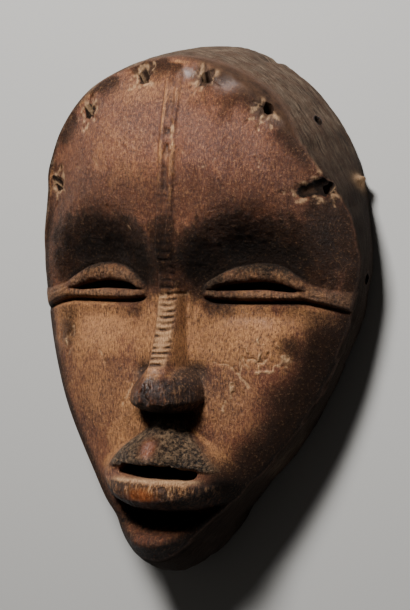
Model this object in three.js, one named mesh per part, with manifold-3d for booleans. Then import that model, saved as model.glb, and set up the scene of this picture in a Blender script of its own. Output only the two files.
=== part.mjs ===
// A carved wooden face mask with a smooth high forehead, slit eyes, and an open mouth over a small chin.
// Millimetres. The mask lies on its flat back rim: +Z out of the face, +Y towards the crown, +X to the
// viewer's right. The origin is under the middle of its outline, on the plane of the rim.
import * as THREE from 'three';
import Module from 'manifold-3d';

// Each table holds [y, value] stations. A curve runs through them without overshooting.

// Outline of the face border, where the front meets the side, as shares of half the face's width.
const FACE_WIDTH = 154;
const FACE_TOP = 108;
const FACE_BOTTOM = -113.5;
const FACE_SHARES = [
  [-110, 0.130], [-97, 0.273], [-88, 0.383], [-78, 0.487], [-60, 0.662], [-43, 0.792], [-20, 0.909],
  [5, 0.981], [30, 1], [48, 0.935], [67, 0.809], [93, 0.532], [103, 0.299],
];
// The carver's hand is not symmetric: the chin leans left and the upper right border is cut back.
const FACE_MIDDLES = [
  [-118, -6.5], [-104, -5], [-90, -3.6], [-75, -2.2], [-50, -1.5], [-30, -0.8], [0, 0], [40, 0],
  [49, -0.6], [60, -3], [77, -5], [93, -5], [108, -3],
];
const BORDER_HEIGHTS = [
  [-115, 45], [-100, 42], [-80, 38], [-60, 32], [-30, 26], [0, 24], [20, 25], [32, 28], [48, 34],
  [56, 38], [67, 41], [77, 44], [93, 49], [105, 52],
];

// Outline of the flat back rim, as shares of half the face's width.
const RIM_TOP = 118.3;
const RIM_BOTTOM = -115.5;
const RIM_SHARES = [
  [-111, 0.156], [-90, 0.344], [-64, 0.571], [-30, 0.792], [0, 0.927], [24, 0.961], [52, 0.913],
  [78, 0.790], [96, 0.610], [110, 0.370],
];
const RIM_MIDDLES = [[-118, -8], [-104, -5.5], [-90, -3.6], [-75, -2], [-50, -0.5], [0, 0]];
const SIDE_BULGES = [[-118, 6], [-100, 4], [-80, 2], [-50, 1.5], [60, 1.8], [118, 1.5]];
const RIM_WIDTH = 9;
const OUTERMOST_STATION = 0.975;

// Middle line of the features, a little off the middle of the outline, and how far they rise to the right.
const FEATURE_MIDDLES = [
  [-118, -6], [-104, -4], [-92, -0.8], [-80, 0.5], [-60, 0.8], [0, 0.4], [40, 1.2], [104, 0],
];
const FEATURE_TILT = 0.03;

// Lower face: heights along the middle and beside the border.
const CHEEK_MIDDLE_HEIGHTS = [[-115, 48], [-105, 54], [-92, 48], [-80, 49], [-66, 50], [-20, 49.5], [20, 50]];
const CHEEK_EDGE_HEIGHTS = [[-115, 46], [-100, 46], [-80, 42], [-60, 36], [-30, 33], [0, 31], [20, 32]];

// Forehead: a dome, widest below the crown, that turns under into the eye hollows.
const FOREHEAD_HEIGHT = 62.8;
const FOREHEAD_FALL = 24;
const FOREHEAD_HALF_WIDTH = 66;
const FOREHEAD_PEAK = 58;
const FOREHEAD_CROWN_DROP = 7.7;
const FOREHEAD_BROW_DROP = 1.7;
const BROW_DEPTH = 31;
const BROW_FEET = [[0, -5], [8, 1], [14, 8], [22, 14.5], [38, 18], [54, 14.5], [66, 9], [80, 6]];

// Eye sockets, sunk into the cheeks from their foot up.
const SOCKET_DEPTH = 6.4;
const SOCKET_MIDDLE = 37;
const SOCKET_REACH = 17;
const SOCKET_FOOT = -22;
const SOCKET_FULL = 2;

// Scar band down the forehead: a low flat band with a trough along it.
const BAND_HALF_WIDTH = 3.6;
const BAND_HEIGHT = 1.7;
const BAND_TROUGH_HALF_WIDTH = 1.3;
const BAND_TROUGH_DEPTH = 1.0;
const BAND_STEP = 0.7;
const BAND_TOP = 105;
const BAND_BOTTOM = 12;
const BAND_RUN_OUT = 7;

// Eyes, by distance x from the feature middle: lids, slit, and the groove under the lower lid.
const LID_TOPS = [
  [12, 4], [14.5, 8.6], [19, 12.4], [27, 16.6], [38, 18.3], [46, 17], [53, 13.2], [60, 9], [70, 6.6],
];
const SLIT_START = 17.5;
const SLIT_END = 54.5;
const SLIT_CORNER = 6.8;
const SLIT_TOPS = [
  [SLIT_START, SLIT_CORNER], [21, 8.6], [30, 10.3], [38, 10.6], [46, 9.8], [SLIT_END, SLIT_CORNER],
];
const SLIT_BOTTOMS = [[SLIT_START, SLIT_CORNER], [20, 6.4], [36, 7], [52, 6.1], [SLIT_END, SLIT_CORNER]];
const LID_GROOVES = [[13, 3], [20, 1.7], [30, 1.4], [54, 1.8], [62, 0.6], [76, -3.2]];
const LID_START = 12.5;
const LID_JOIN = 54;
const LID_JOIN_LENGTH = 6;
const LID_LEAST_HALF = 1.6;
const LID_ROUNDING = 0.35;
const UPPER_LID_HEIGHT = 4.2;
const LOWER_LID_HEIGHT = 3.2;
const TEMPLE_BAR_HEIGHT = 3.6;
const LID_GROOVE_DEPTH = 3.2;
const LID_GROOVE_HALF_WIDTH = 1.2;
const CHEEK_SHELF_HEIGHT = 1.6;
const CHEEK_SHELF_LENGTH = 8;
const CHEEK_SHELF_STEP = 0.9;

// Nose: a narrow crest that ends in a round tip.
const CREST_HEIGHTS = [
  [-44, 66], [-38, 69.5], [-32, 68], [-26, 64], [-18, 60.5], [-8, 58], [4, 57], [20, 57.5],
];
const CREST_START = 17;
const CREST_END = -45.2;
const CREST_HALF_WIDTH = 3.6;
const CREST_FOOT = 9.5;
const CREST_DROP = 9;
const CREST_ROUNDING = 0.8;
const NOSE_TIP_Y = -41;
const NOSE_TIP_HALF_WIDTH = 16;
const NOSE_TIP_ABOVE = 16.5;
const NOSE_TIP_BELOW = 6.5;
const NOSE_TIP_BASE = 49;
const NOSE_TIP_RISE = 21;
const NOSE_FILLET = 5;

// Muzzle and lips around the pierced mouth.
const MUZZLE_TOP = -47.5;
const MUZZLE_BOTTOM = -90.5;
const MUZZLE_STEP = 2.5;
const MUZZLE_HALF_WIDTHS = [[-93, 12], [-89, 19], [-83, 27.5], [-75, 31], [-64, 23.5], [-52, 9], [-46, 4]];
const MUZZLE_HEIGHTS = [
  [-93, 48], [-90, 56], [-87.5, 63], [-84, 66], [-76, 65.5], [-72, 64.5], [-66, 65.5], [-60, 62.5],
  [-52, 55.5], [-46, 51],
];
const MUZZLE_SIDE_FALL = 13;
const LIP_PARTINGS = [[0, -72.2], [18, -72.6], [30, -76]];
const LOWER_LIP_BELOW = 8.6;
const UPPER_LIP_ABOVE = 6;
const LIP_REACH = 4.6;
const LOWER_LIP_HEIGHT = 1.6;
const UPPER_LIP_HEIGHT = 1.5;
const PARTING_DEPTH = 4;
const PARTING_REACH = 2.2;
const MOUTH_LEFT = -18.3;
const MOUTH_RIGHT = 19.3;
const MOUTH_TOP = -69;
const MOUTH_BOTTOM = -75.2;

// Chin: a curved ledge under a deep recess.
const CHIN_LEDGE_Y = -105.5;
const CHIN_RECESS_Y = -95;
const CHIN_CURVE = 0.018;
const CHIN_LEDGE_HEIGHT = 5;
const CHIN_LEDGE_REACH = 5.5;
const CHIN_RECESS_DEPTH = 5;
const CHIN_RECESS_REACH = 4.5;
const CHIN_HALF_WIDTH = 32;

// The hollow behind the face.
const FRONT_WALL = 14;
const HOLLOW_EXTRA_HEIGHTS = [[-92, 0], [-78, 12], [-60, 6], [-36, 8], [-12, 3], [6, 0]];
const HOLLOW_EXTRA_HALF_WIDTH = 12;
const HOLLOW_BROW_PLACE = 22;

// Tie holes, drilled into the hollow: by bearing from the crown in degrees and share of the way to the
// border in front, and by bearing and height on the side.
const TIE_HOLE_RADIUS = 2.2;
const TIE_HOLE_DEPTH = 30;
const DRILL_START = 10;
const DRILL_SIDES = 8;
const FRONT_HOLES = [
  [-8.4, 0.92], [14.3, 0.934], [-31.9, 0.912], [35.3, 0.971], [-57.8, 0.919], [58.7, 0.961],
];
const SIDE_HOLES = [[43.5, 22], [82, 15]];
const HOLE_AIM_SHARE = 0.68;
const HOLE_AIM_HEIGHT = 20;

const SOFTENING_REACH = 0.8;
const SOFTENING_WAYS = [[0, 0], [-1, -1], [1, -1], [1, 1], [-1, 1]];
const SIDE_ROWS = [0.12, 0.32, 0.55, 0.78, 1];
const WOOD_COLOUR = 0x6e4128;

const clamp = (t, low, high) => Math.min(Math.max(t, low), high);

// Smooth curve through stations, with slopes that never overshoot, flat beyond the ends.
function along(stations, at) {
  const last = stations.length - 1;
  const t = clamp(at, stations[0][0], stations[last][0]);
  const rate = (k) => (stations[k + 1][1] - stations[k][1]) / (stations[k + 1][0] - stations[k][0]);
  const slope = (k) => {
    if (k === 0) return rate(0);
    if (k === last) return rate(last - 1);
    const before = rate(k - 1);
    const after = rate(k);
    return before * after > 0 ? (2 * before * after) / (before + after) : 0;
  };
  let i = 0;
  while (i < last - 1 && t > stations[i + 1][0]) i += 1;
  const span = stations[i + 1][0] - stations[i][0];
  const s = (t - stations[i][0]) / span;
  return (2 * s ** 3 - 3 * s ** 2 + 1) * stations[i][1] + (s ** 3 - 2 * s ** 2 + s) * span * slope(i)
    + (3 * s ** 2 - 2 * s ** 3) * stations[i + 1][1] + (s ** 3 - s ** 2) * span * slope(i + 1);
}

const ease = (from, to, t) => {
  const s = clamp((t - from) / (to - from), 0, 1);
  return s * s * (3 - 2 * s);
};
const bell = (t) => Math.exp(-t * t);
const blendMax = (a, b, radius) => {
  const near = Math.max(radius - Math.abs(a - b), 0) / radius;
  return Math.max(a, b) + (near * near * radius) / 4;
};

// An egg outline: y from the middle and half length, x from the half widths at that y. Stations right at
// or beyond the ends say nothing about a half ellipse and are left out.
function egg(top, bottom, halfWidths, middles) {
  const centre = (top + bottom) / 2;
  const half = (top - bottom) / 2;
  const used = halfWidths.filter(([y]) => Math.abs(y - centre) < OUTERMOST_STATION * half);
  const full = used.map(([y, w]) => [y, w / Math.sqrt(1 - ((y - centre) / half) ** 2)]);
  const halfAt = (y) => along(full, y) * Math.sqrt(Math.max(1 - ((y - centre) / half) ** 2, 0));
  const place = (xd, yd) => {
    const y = centre + half * yd;
    return [xd * along(full, y) + along(middles, y), y];
  };
  return { centre, half, halfAt, place };
}

const halfWidths = (shares) => shares.map(([y, share]) => [y, (share * FACE_WIDTH) / 2]);
const FACE = egg(FACE_TOP, FACE_BOTTOM, halfWidths(FACE_SHARES), FACE_MIDDLES);
const RIM = egg(RIM_TOP, RIM_BOTTOM, halfWidths(RIM_SHARES), RIM_MIDDLES);
const HOLLOW = egg(
  RIM_TOP - RIM_WIDTH,
  RIM_BOTTOM + RIM_WIDTH,
  halfWidths(RIM_SHARES).filter(([y]) => y > RIM_BOTTOM + 2 * RIM_WIDTH && y < RIM_TOP - 2 * RIM_WIDTH)
    .map(([y, w]) => [y, w - RIM_WIDTH]),
  RIM_MIDDLES,
);

// The cheeks fall from the middle to the edge, with the eye sockets sunk into them.
function cheeks(x, y) {
  const a = Math.abs(x);
  const s = clamp(a / FACE.halfAt(y), 0, 1);
  const middle = along(CHEEK_MIDDLE_HEIGHTS, y);
  const socket = bell((a - SOCKET_MIDDLE) / SOCKET_REACH) * ease(SOCKET_FOOT, SOCKET_FULL, y);
  const fall = 0.62 * s ** 1.25 + 0.38 * s ** 3;
  return middle - (middle - along(CHEEK_EDGE_HEIGHTS, y)) * fall - SOCKET_DEPTH * socket;
}

function forehead(x, y) {
  const t = (y - FOREHEAD_PEAK) / (RIM_TOP - FOREHEAD_PEAK);
  const drop = (t > 0 ? FOREHEAD_CROWN_DROP : FOREHEAD_BROW_DROP) * t * t;
  return FOREHEAD_HEIGHT - FOREHEAD_FALL * (Math.abs(x) / FOREHEAD_HALF_WIDTH) ** 2.6 - drop;
}

// The brow: forehead above, cheeks and sockets below.
function brow(x, y) {
  const low = cheeks(x, y);
  return low + (forehead(x, y) - low) * ease(0, BROW_DEPTH, y - along(BROW_FEET, Math.abs(x)));
}

// A rounded bar between two edges: 1 along its middle, 0 at its edges.
function bar(y, low, high) {
  const halfHeight = Math.max((high - low) / 2, LID_LEAST_HALF) + LID_ROUNDING;
  return Math.sqrt(Math.max(1 - ((y - (high + low) / 2) / halfHeight) ** 2, 0));
}

// Two lids that join in one bar towards the temple, over a groove.
function eyes(a, y) {
  const top = along(LID_TOPS, a);
  const middle = along(LID_GROOVES, a);
  const foot = middle + 0.75 * LID_GROOVE_HALF_WIDTH;
  const upper = UPPER_LID_HEIGHT * bar(y, along(SLIT_TOPS, a), top);
  const lower = LOWER_LID_HEIGHT * bar(y, foot, along(SLIT_BOTTOMS, a));
  const temple = TEMPLE_BAR_HEIGHT * bar(y, foot, top);
  const outer = ease(LID_JOIN, LID_JOIN + LID_JOIN_LENGTH, a);
  const rise = (1 - outer) * Math.max(upper, lower) + outer * temple;
  const groove = LID_GROOVE_DEPTH * bell((y - middle) / LID_GROOVE_HALF_WIDTH);
  return ease(LID_START, SLIT_START, a) * (rise - groove);
}

// A low step on the cheek, under the groove.
function cheekShelf(a, y) {
  const edge = along(LID_GROOVES, a);
  const rise = ease(edge - CHEEK_SHELF_LENGTH, edge - CHEEK_SHELF_STEP, y);
  const over = rise * (1 - ease(edge - CHEEK_SHELF_STEP, edge, y));
  return CHEEK_SHELF_HEIGHT * over * ease(LID_START, SLIT_START, a) * (1 - ease(0.8, 1, a / FACE.halfAt(y)));
}

function muzzle(a, y, base) {
  const s = a / along(MUZZLE_HALF_WIDTHS, y);
  const crown = along(MUZZLE_HEIGHTS, y) - MUZZLE_SIDE_FALL * Math.min(s, 1.3) ** 2.2;
  const upper = ease(-MUZZLE_STEP, MUZZLE_STEP, MUZZLE_TOP - y);
  const lower = ease(-MUZZLE_STEP, MUZZLE_STEP, y - MUZZLE_BOTTOM);
  return base + Math.max(crown - base, 0) * upper * lower * (1 - ease(0.82, 1.15, s));
}

// Two soft swellings either side of a parting groove, as wide as the mouth.
function lips(a, y) {
  const parting = along(LIP_PARTINGS, a);
  const seam = bell((y - parting) / PARTING_REACH) * (1 - ease(0.8, 1.3, a / MOUTH_RIGHT));
  const lower = bell((y - parting + LOWER_LIP_BELOW) / LIP_REACH) * (1 - ease(1, 1.7, a / MOUTH_RIGHT));
  const upper = bell((y - parting - UPPER_LIP_ABOVE) / LIP_REACH) * (1 - ease(0.5, 1, a / MOUTH_RIGHT));
  return LOWER_LIP_HEIGHT * lower + UPPER_LIP_HEIGHT * upper - PARTING_DEPTH * seam;
}

// A curved ledge under a recess.
function chin(a, y) {
  const curve = CHIN_CURVE * a * a;
  const s = a / CHIN_HALF_WIDTH;
  const recess = bell((y - CHIN_RECESS_Y - curve) / CHIN_RECESS_REACH) * (1 - ease(0.5, 1, s));
  const ledge = bell((y - CHIN_LEDGE_Y - curve) / CHIN_LEDGE_REACH) * (1 - ease(0.25, 0.8, s));
  return CHIN_LEDGE_HEIGHT * ledge - CHIN_RECESS_DEPTH * recess;
}

// The crest with its eased flanks, blended with a flattened ball for the tip.
function nose(x, y, base) {
  const a = Math.abs(x);
  const flank = CREST_DROP * ease(CREST_HALF_WIDTH, CREST_FOOT, a) + 0.9 * Math.max(a - CREST_FOOT, 0);
  const crest = along(CREST_HEIGHTS, y) - CREST_ROUNDING * (a / CREST_HALF_WIDTH) ** 2 - flank;
  const length = ease(CREST_END - 2, CREST_END + 2, y) * (1 - ease(CREST_START - 5, CREST_START + 5, y));
  const bridge = blendMax(base, base + Math.max((crest - base) * length, 0), 0.4 * NOSE_FILLET);
  const up = y - NOSE_TIP_Y;
  const r2 = (x / NOSE_TIP_HALF_WIDTH) ** 2 + (up / (up > 0 ? NOSE_TIP_ABOVE : NOSE_TIP_BELOW)) ** 2;
  const tip = r2 < 1 ? NOSE_TIP_BASE + NOSE_TIP_RISE * Math.sqrt(1 - r2 ** 1.15) : 0;
  return blendMax(bridge, tip, NOSE_FILLET);
}

// A flat band with a trough, whose edges are steps as wide as BAND_STEP.
function scarBand(a, y) {
  const band = 1 - ease(BAND_HALF_WIDTH - BAND_STEP, BAND_HALF_WIDTH + BAND_STEP, a);
  const trough = 1 - ease(BAND_TROUGH_HALF_WIDTH - BAND_STEP, BAND_TROUGH_HALF_WIDTH + BAND_STEP, a);
  const lower = ease(BAND_BOTTOM - BAND_RUN_OUT, BAND_BOTTOM, y);
  const upper = 1 - ease(BAND_TOP - BAND_RUN_OUT, BAND_TOP, y);
  return lower * upper * (BAND_HEIGHT * band - BAND_TROUGH_DEPTH * trough);
}

// Height of the front at a place in plan. rho runs from 0 in the middle to 1 at the border.
function frontHeight(px, y, border, rho) {
  const x = px - along(FEATURE_MIDDLES, y);
  const level = y - FEATURE_TILT * x;
  const a = Math.abs(x);
  let z = brow(x, level) + eyes(a, level) + cheekShelf(a, level);
  z = muzzle(a, level, z) + lips(a, level) + chin(a, level);
  z = nose(x, level, z) + scarBand(a, level);
  const power = 9 - 4 * ease(FACE_TOP * 0.37, FACE_TOP * 0.83, y);
  return border + (z - border) * Math.sqrt(Math.max(1 - rho ** power, 0));
}

// Grid lines of the front, denser where the carving is. Columns are offsets from the middle.
const HALF_COLUMNS = [
  1.3, 2.9, 4.3, 7, 10, 13, 15.5, 18.5, 22, 26, 31, 36, 42, 48, 54, 60, 65, 69.5, 73.5, 76,
];
const ROWS = [
  -111.5, -109, -106.5, -103.5, -100.5, -97.5, -94.5, -92, -89.5, -87, -84.5, -82, -79, -76,
  -73.5, -71.2, -69, -66, -62, -58, -54, -51, -48.5, -46.5, -44, -41, -37, -33, -29, -25, -20, -14, -8,
  -4, -2, 0, 2, 4, 6, 8, 10, 12, 14, 16, 18, 20, 23, 27, 31, 36, 42, 50, 58, 66, 74, 82, 90, 96, 101,
  104.5, 107,
];
const WIDEST = FACE_WIDTH / 2;
const HALF = [...HALF_COLUMNS.filter((x) => x < WIDEST), WIDEST];
const COLUMNS = [...HALF.map((x) => -x).reverse(), 0, ...HALF];
const LENGTHWISE = [FACE_BOTTOM, ...ROWS.filter((y) => y > FACE_BOTTOM && y < FACE_TOP), FACE_TOP];
const STRAIGHT_SHARE = 0.2;
const STRAIGHT_FADE = 14;

// Places of a square grid mapped to a disc, row by row.
function discGrid(us, vs) {
  return vs.flatMap((v) => us.map((u) => [u * Math.sqrt(1 - (v * v) / 2), v * Math.sqrt(1 - (u * u) / 2)]));
}

// Grid indices around the edge, counterclockwise seen from +Z.
function edgeLoop(nu, nv) {
  const loop = [];
  for (let i = 0; i < nu; i += 1) loop.push(i);
  for (let j = 1; j < nv; j += 1) loop.push(j * nu + nu - 1);
  for (let i = nu - 2; i >= 0; i -= 1) loop.push((nv - 1) * nu + i);
  for (let j = nv - 2; j > 0; j -= 1) loop.push(j * nu);
  return loop;
}

// Each grid cell is split along the diagonal whose ends differ least in height, so edges stay crisp.
function gridTriangles(points, nu, nv) {
  const triangles = [];
  for (let j = 0; j < nv - 1; j += 1) {
    for (let i = 0; i < nu - 1; i += 1) {
      const [a, b, c, d] = [j * nu + i, j * nu + i + 1, (j + 1) * nu + i + 1, (j + 1) * nu + i];
      const rising = Math.abs(points[a][2] - points[c][2]) <= Math.abs(points[b][2] - points[d][2]);
      triangles.push(...(rising ? [a, b, c, a, c, d] : [a, b, d, b, c, d]));
    }
  }
  return triangles;
}

// Closes a grid downwards: rings of points under its edge, then a fan to one middle point.
function closeBelow(points, triangles, loop, rings, middle) {
  let upper = loop;
  for (const ring of rings) {
    const lower = ring.map((_, k) => points.length + k);
    points.push(...ring);
    upper.forEach((from, k) => {
      const next = (k + 1) % upper.length;
      triangles.push(from, lower[k], lower[next], from, lower[next], upper[next]);
    });
    upper = lower;
  }
  const hub = points.length;
  points.push(middle);
  upper.forEach((from, k) => triangles.push(upper[(k + 1) % upper.length], from, hub));
}

const borderHeight = (yd, rho) => along(BORDER_HEIGHTS, FACE.centre + (FACE.half * yd) / Math.max(rho, 1e-6));

// The middle columns, out to STRAIGHT_SHARE, run parallel to the band and the nose. Each height is the mean
// of a few places round it, so that an edge which crosses the grid slantwise doesn't come out as teeth.
function frontPoint([xd, yd], u) {
  const rho = Math.min(Math.hypot(xd, yd), 1);
  const [px, y] = FACE.place(xd, yd);
  const near = 1 - ease(STRAIGHT_SHARE / 2, STRAIGHT_SHARE, Math.abs(u));
  const aboveMuzzle = ease(MUZZLE_TOP - STRAIGHT_FADE, MUZZLE_TOP, y);
  const belowCrown = 1 - ease(BAND_TOP - STRAIGHT_FADE, BAND_TOP, y);
  const straight = near * aboveMuzzle * belowCrown;
  const x = px + (u * WIDEST + along(FEATURE_MIDDLES, y) - px) * straight;
  const border = borderHeight(yd, rho);
  const step = SOFTENING_REACH;
  const heights = SOFTENING_WAYS.map(([i, j]) => frontHeight(x + i * step, y + j * step, border, rho));
  return [x, y, heights.reduce((sum, z) => sum + z, 0) / heights.length];
}

function outerBody() {
  const us = COLUMNS.map((x) => x / WIDEST);
  const vs = LENGTHWISE.map((y) => clamp((y - FACE.centre) / FACE.half, -1, 1));
  const disc = discGrid(us, vs);
  const points = disc.map((d, k) => frontPoint(d, us[k % us.length]));
  const triangles = gridTriangles(points, us.length, vs.length);
  const loop = edgeLoop(us.length, vs.length);
  const rings = SIDE_ROWS.map((t) => loop.map((k) => {
    const [xd, yd] = disc[k];
    const [bx, by, bz] = points[k];
    const [rx, ry] = RIM.place(xd, yd);
    const y = by + (ry - by) * t;
    const bulge = t < 1 ? along(SIDE_BULGES, y) * Math.sin(Math.PI * t) ** 0.8 : 0;
    return [bx + (rx - bx) * t + xd * bulge, y + yd * bulge, bz * (1 - t)];
  }));
  closeBelow(points, triangles, loop, rings, [0, RIM.centre, 0]);
  return { points, triangles };
}

// The hollow follows the front with its features smoothed away, deeper behind the nose and mouth.
function hollowHeight(x, y, rho) {
  const low = along(CHEEK_MIDDLE_HEIGHTS, y);
  const middle = low + (forehead(0, y) - low) * ease(0, BROW_DEPTH, y - along(BROW_FEET, HOLLOW_BROW_PLACE));
  const extra = along(HOLLOW_EXTRA_HEIGHTS, y) * bell(x / HOLLOW_EXTRA_HALF_WIDTH);
  return (middle - FRONT_WALL + extra) * Math.max(1 - rho ** 3, 0) ** 0.55;
}

function hollowBody() {
  const steps = [-1, -0.985, -0.95, -0.89, -0.8, -0.68, -0.54, -0.39, -0.24, -0.12, 0];
  const lines = [...steps, ...steps.slice(0, -1).map((t) => -t).reverse()];
  const rows = [-1, -0.985, -0.95, -0.9, -0.83, -0.75, -0.66, -0.57, -0.48, -0.39, -0.3, -0.2, -0.1, 0];
  const lengthwise = [...rows, ...rows.slice(0, -1).map((t) => -t).reverse()];
  const disc = discGrid(lines, lengthwise);
  const points = disc.map(([xd, yd]) => {
    const [x, y] = HOLLOW.place(xd, yd);
    return [x, y, hollowHeight(x, y, Math.min(Math.hypot(xd, yd), 1))];
  });
  const triangles = gridTriangles(points, lines.length, lengthwise.length);
  const loop = edgeLoop(lines.length, lengthwise.length);
  const below = loop.map((k) => [points[k][0], points[k][1], -RIM_WIDTH]);
  closeBelow(points, triangles, loop, [below], [0, RIM.centre, -RIM_WIDTH]);
  return { points, triangles };
}

// A straight cut through the face: an outline in plan, pierced along z.
function piercing(outline, low, high) {
  const n = outline.length;
  const points = [...outline.map(([x, y]) => [x, y, high]), ...outline.map(([x, y]) => [x, y, low])];
  const middle = outline.reduce(([sx, sy], [x, y]) => [sx + x / n, sy + y / n], [0, 0]);
  points.push([...middle, high], [...middle, low]);
  const triangles = [];
  for (let k = 0; k < n; k += 1) {
    const next = (k + 1) % n;
    triangles.push(k, n + k, n + next, k, n + next, next, k, next, 2 * n, n + next, n + k, 2 * n + 1);
  }
  return { points, triangles };
}

function eyeSlit(side) {
  const across = Array.from({ length: 12 }, (_, k) => (1 - Math.cos((k / 11) * Math.PI)) / 2);
  const reach = across.map((t) => SLIT_START + (SLIT_END - SLIT_START) * t);
  const under = reach.map((a) => [a, along(SLIT_BOTTOMS, a)]);
  const over = reach.slice(1, -1).map((a) => [a, along(SLIT_TOPS, a)]).reverse();
  const outline = [...under, ...over].map(([a, level]) => {
    const y = level + FEATURE_TILT * side * a;
    return [side * a + along(FEATURE_MIDDLES, y), y];
  });
  return side > 0 ? outline : outline.reverse();
}

function mouthSlit() {
  return Array.from({ length: 20 }, (_, k) => {
    const t = (k / 20) * 2 * Math.PI;
    const x = ((MOUTH_RIGHT - MOUTH_LEFT) / 2) * Math.sign(Math.cos(t)) * Math.abs(Math.cos(t)) ** 0.8;
    const y = ((MOUTH_TOP - MOUTH_BOTTOM) / 2) * Math.sign(Math.sin(t)) * Math.abs(Math.sin(t)) ** 0.5;
    return [(MOUTH_LEFT + MOUTH_RIGHT) / 2 + x, (MOUTH_TOP + MOUTH_BOTTOM) / 2 + y];
  });
}

// A drill that starts a little outside the wood and runs towards the middle of the hollow.
function drill([x, y, z]) {
  const start = new THREE.Vector3(x, y, z);
  const aim = new THREE.Vector3(x * HOLE_AIM_SHARE, y * HOLE_AIM_SHARE, HOLE_AIM_HEIGHT);
  const down = new THREE.Vector3(0, 0, -1);
  const turn = new THREE.Quaternion().setFromUnitVectors(down, aim.sub(start).normalize());
  const frame = new THREE.Matrix4().compose(start, turn, new THREE.Vector3(1, 1, 1));
  const ring = Array.from({ length: DRILL_SIDES }, (_, k) => {
    const angle = (k / DRILL_SIDES) * 2 * Math.PI;
    return [Math.cos(angle) * TIE_HOLE_RADIUS, Math.sin(angle) * TIE_HOLE_RADIUS];
  });
  const { points, triangles } = piercing(ring, -TIE_HOLE_DEPTH, DRILL_START);
  return { points: points.map((p) => new THREE.Vector3(...p).applyMatrix4(frame).toArray()), triangles };
}

const onDisc = (bearing) => [Math.sin, Math.cos].map((f) => f(THREE.MathUtils.degToRad(bearing)));

function frontHole([bearing, rho]) {
  const [xd, yd] = onDisc(bearing);
  const [x, y] = FACE.place(xd * rho, yd * rho);
  return drill([x, y, frontHeight(x, y, borderHeight(yd, 1), rho)]);
}

function sideHole([bearing, height]) {
  const [xd, yd] = onDisc(bearing);
  const t = 1 - height / borderHeight(yd, 1);
  const rim = RIM.place(xd, yd);
  const [x, y] = FACE.place(xd, yd).map((from, k) => from + (rim[k] - from) * t);
  return drill([x, y, height]);
}

const wasm = await Module();
wasm.setup();

function toSolid({ points, triangles }) {
  return new wasm.Manifold(new wasm.Mesh({
    numProp: 3,
    vertProperties: new Float32Array(points.flat()),
    triVerts: new Uint32Array(triangles),
  }));
}

const CUT_LOW = 8;
const CUT_HIGH = 90;
let mask = toSolid(outerBody()).subtract(toSolid(hollowBody()));
for (const outline of [eyeSlit(-1), eyeSlit(1), mouthSlit()]) {
  mask = mask.subtract(toSolid(piercing(outline, CUT_LOW, CUT_HIGH)));
}
for (const hole of [...FRONT_HOLES.map(frontHole), ...SIDE_HOLES.map(sideHole)]) {
  mask = mask.subtract(toSolid(hole));
}

const cut = mask.getMesh();
const geometry = new THREE.BufferGeometry();
geometry.setAttribute('position', new THREE.BufferAttribute(new Float32Array(cut.vertProperties), 3));
geometry.setIndex(new THREE.BufferAttribute(new Uint32Array(cut.triVerts), 1));
geometry.computeVertexNormals();
geometry.computeBoundingBox();

const wood = new THREE.MeshStandardMaterial({ color: WOOD_COLOUR, roughness: 0.5, metalness: 0 });
const body = new THREE.Mesh(geometry, wood);
body.name = 'mask';
const box = geometry.boundingBox;
body.position.set(-(box.min.x + box.max.x) / 2, -(box.min.y + box.max.y) / 2, -box.min.z);

const group = new THREE.Group();
group.add(body);
export default group;
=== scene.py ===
# %% [markdown]
# # A carved wooden mask
# This lesson builds one face mask, hollowed from a single block of wood, that lies on its flat back rim.
# The real mask was roughed out with an adze, cleaned with a knife, rubbed smooth on the front, and then
# handled for years. So there are three jobs: the big forms, the small cuts, and the skin of wear and crust.
# The big forms repeat the sizes of the part's source, in millimetres, and become metres at the very end.

# %% Load the fixed frame
import math

import bpy
import numpy as np
from mathutils import Matrix, Vector


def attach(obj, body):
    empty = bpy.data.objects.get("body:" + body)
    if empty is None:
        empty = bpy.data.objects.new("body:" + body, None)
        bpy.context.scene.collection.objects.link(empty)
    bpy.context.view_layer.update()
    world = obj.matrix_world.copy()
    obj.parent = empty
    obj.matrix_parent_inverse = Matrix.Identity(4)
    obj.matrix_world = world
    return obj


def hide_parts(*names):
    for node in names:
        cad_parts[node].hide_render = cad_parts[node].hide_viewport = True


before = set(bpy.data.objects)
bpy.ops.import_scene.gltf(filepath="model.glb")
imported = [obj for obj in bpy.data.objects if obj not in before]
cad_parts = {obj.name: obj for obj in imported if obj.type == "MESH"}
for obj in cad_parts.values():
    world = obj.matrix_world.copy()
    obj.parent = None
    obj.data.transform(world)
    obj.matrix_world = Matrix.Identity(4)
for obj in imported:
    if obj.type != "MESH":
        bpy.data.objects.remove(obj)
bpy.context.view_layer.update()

# %% [markdown]
# ## Curves through a few stations
# A carver thinks in places: so wide at the temples, so wide at the jaw. A table of [y, value] stations with
# a smooth curve through them says the same thing. The slopes are chosen so that the curve never overshoots,
# which a plain spline would do beside a long flat stretch.

# %% Curve, easing and blending helpers
MOTTLE_ROWS, MOTTLE_COLUMNS = 61, 67


def along(stations, at):
    """Cubic through the stations; each slope is the harmonic mean of its neighbours, or 0 at a turn."""
    t, v = np.array(stations, float).T
    rate = np.diff(v) / np.diff(t)
    same = rate[:-1] * rate[1:] > 0
    total = np.where(same, rate[:-1] + rate[1:], 1)
    slope = np.concatenate([rate[:1], np.where(same, 2 * rate[:-1] * rate[1:] / total, 0), rate[-1:]])
    at = np.clip(at, t[0], t[-1])
    i = np.clip(np.searchsorted(t, at, side="right") - 1, 0, len(t) - 2)
    span = t[i + 1] - t[i]
    s = (at - t[i]) / span
    start = (2 * s**3 - 3 * s**2 + 1) * v[i] + (s**3 - 2 * s**2 + s) * span * slope[i]
    return start + (3 * s**2 - 2 * s**3) * v[i + 1] + (s**3 - s**2) * span * slope[i + 1]


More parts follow.
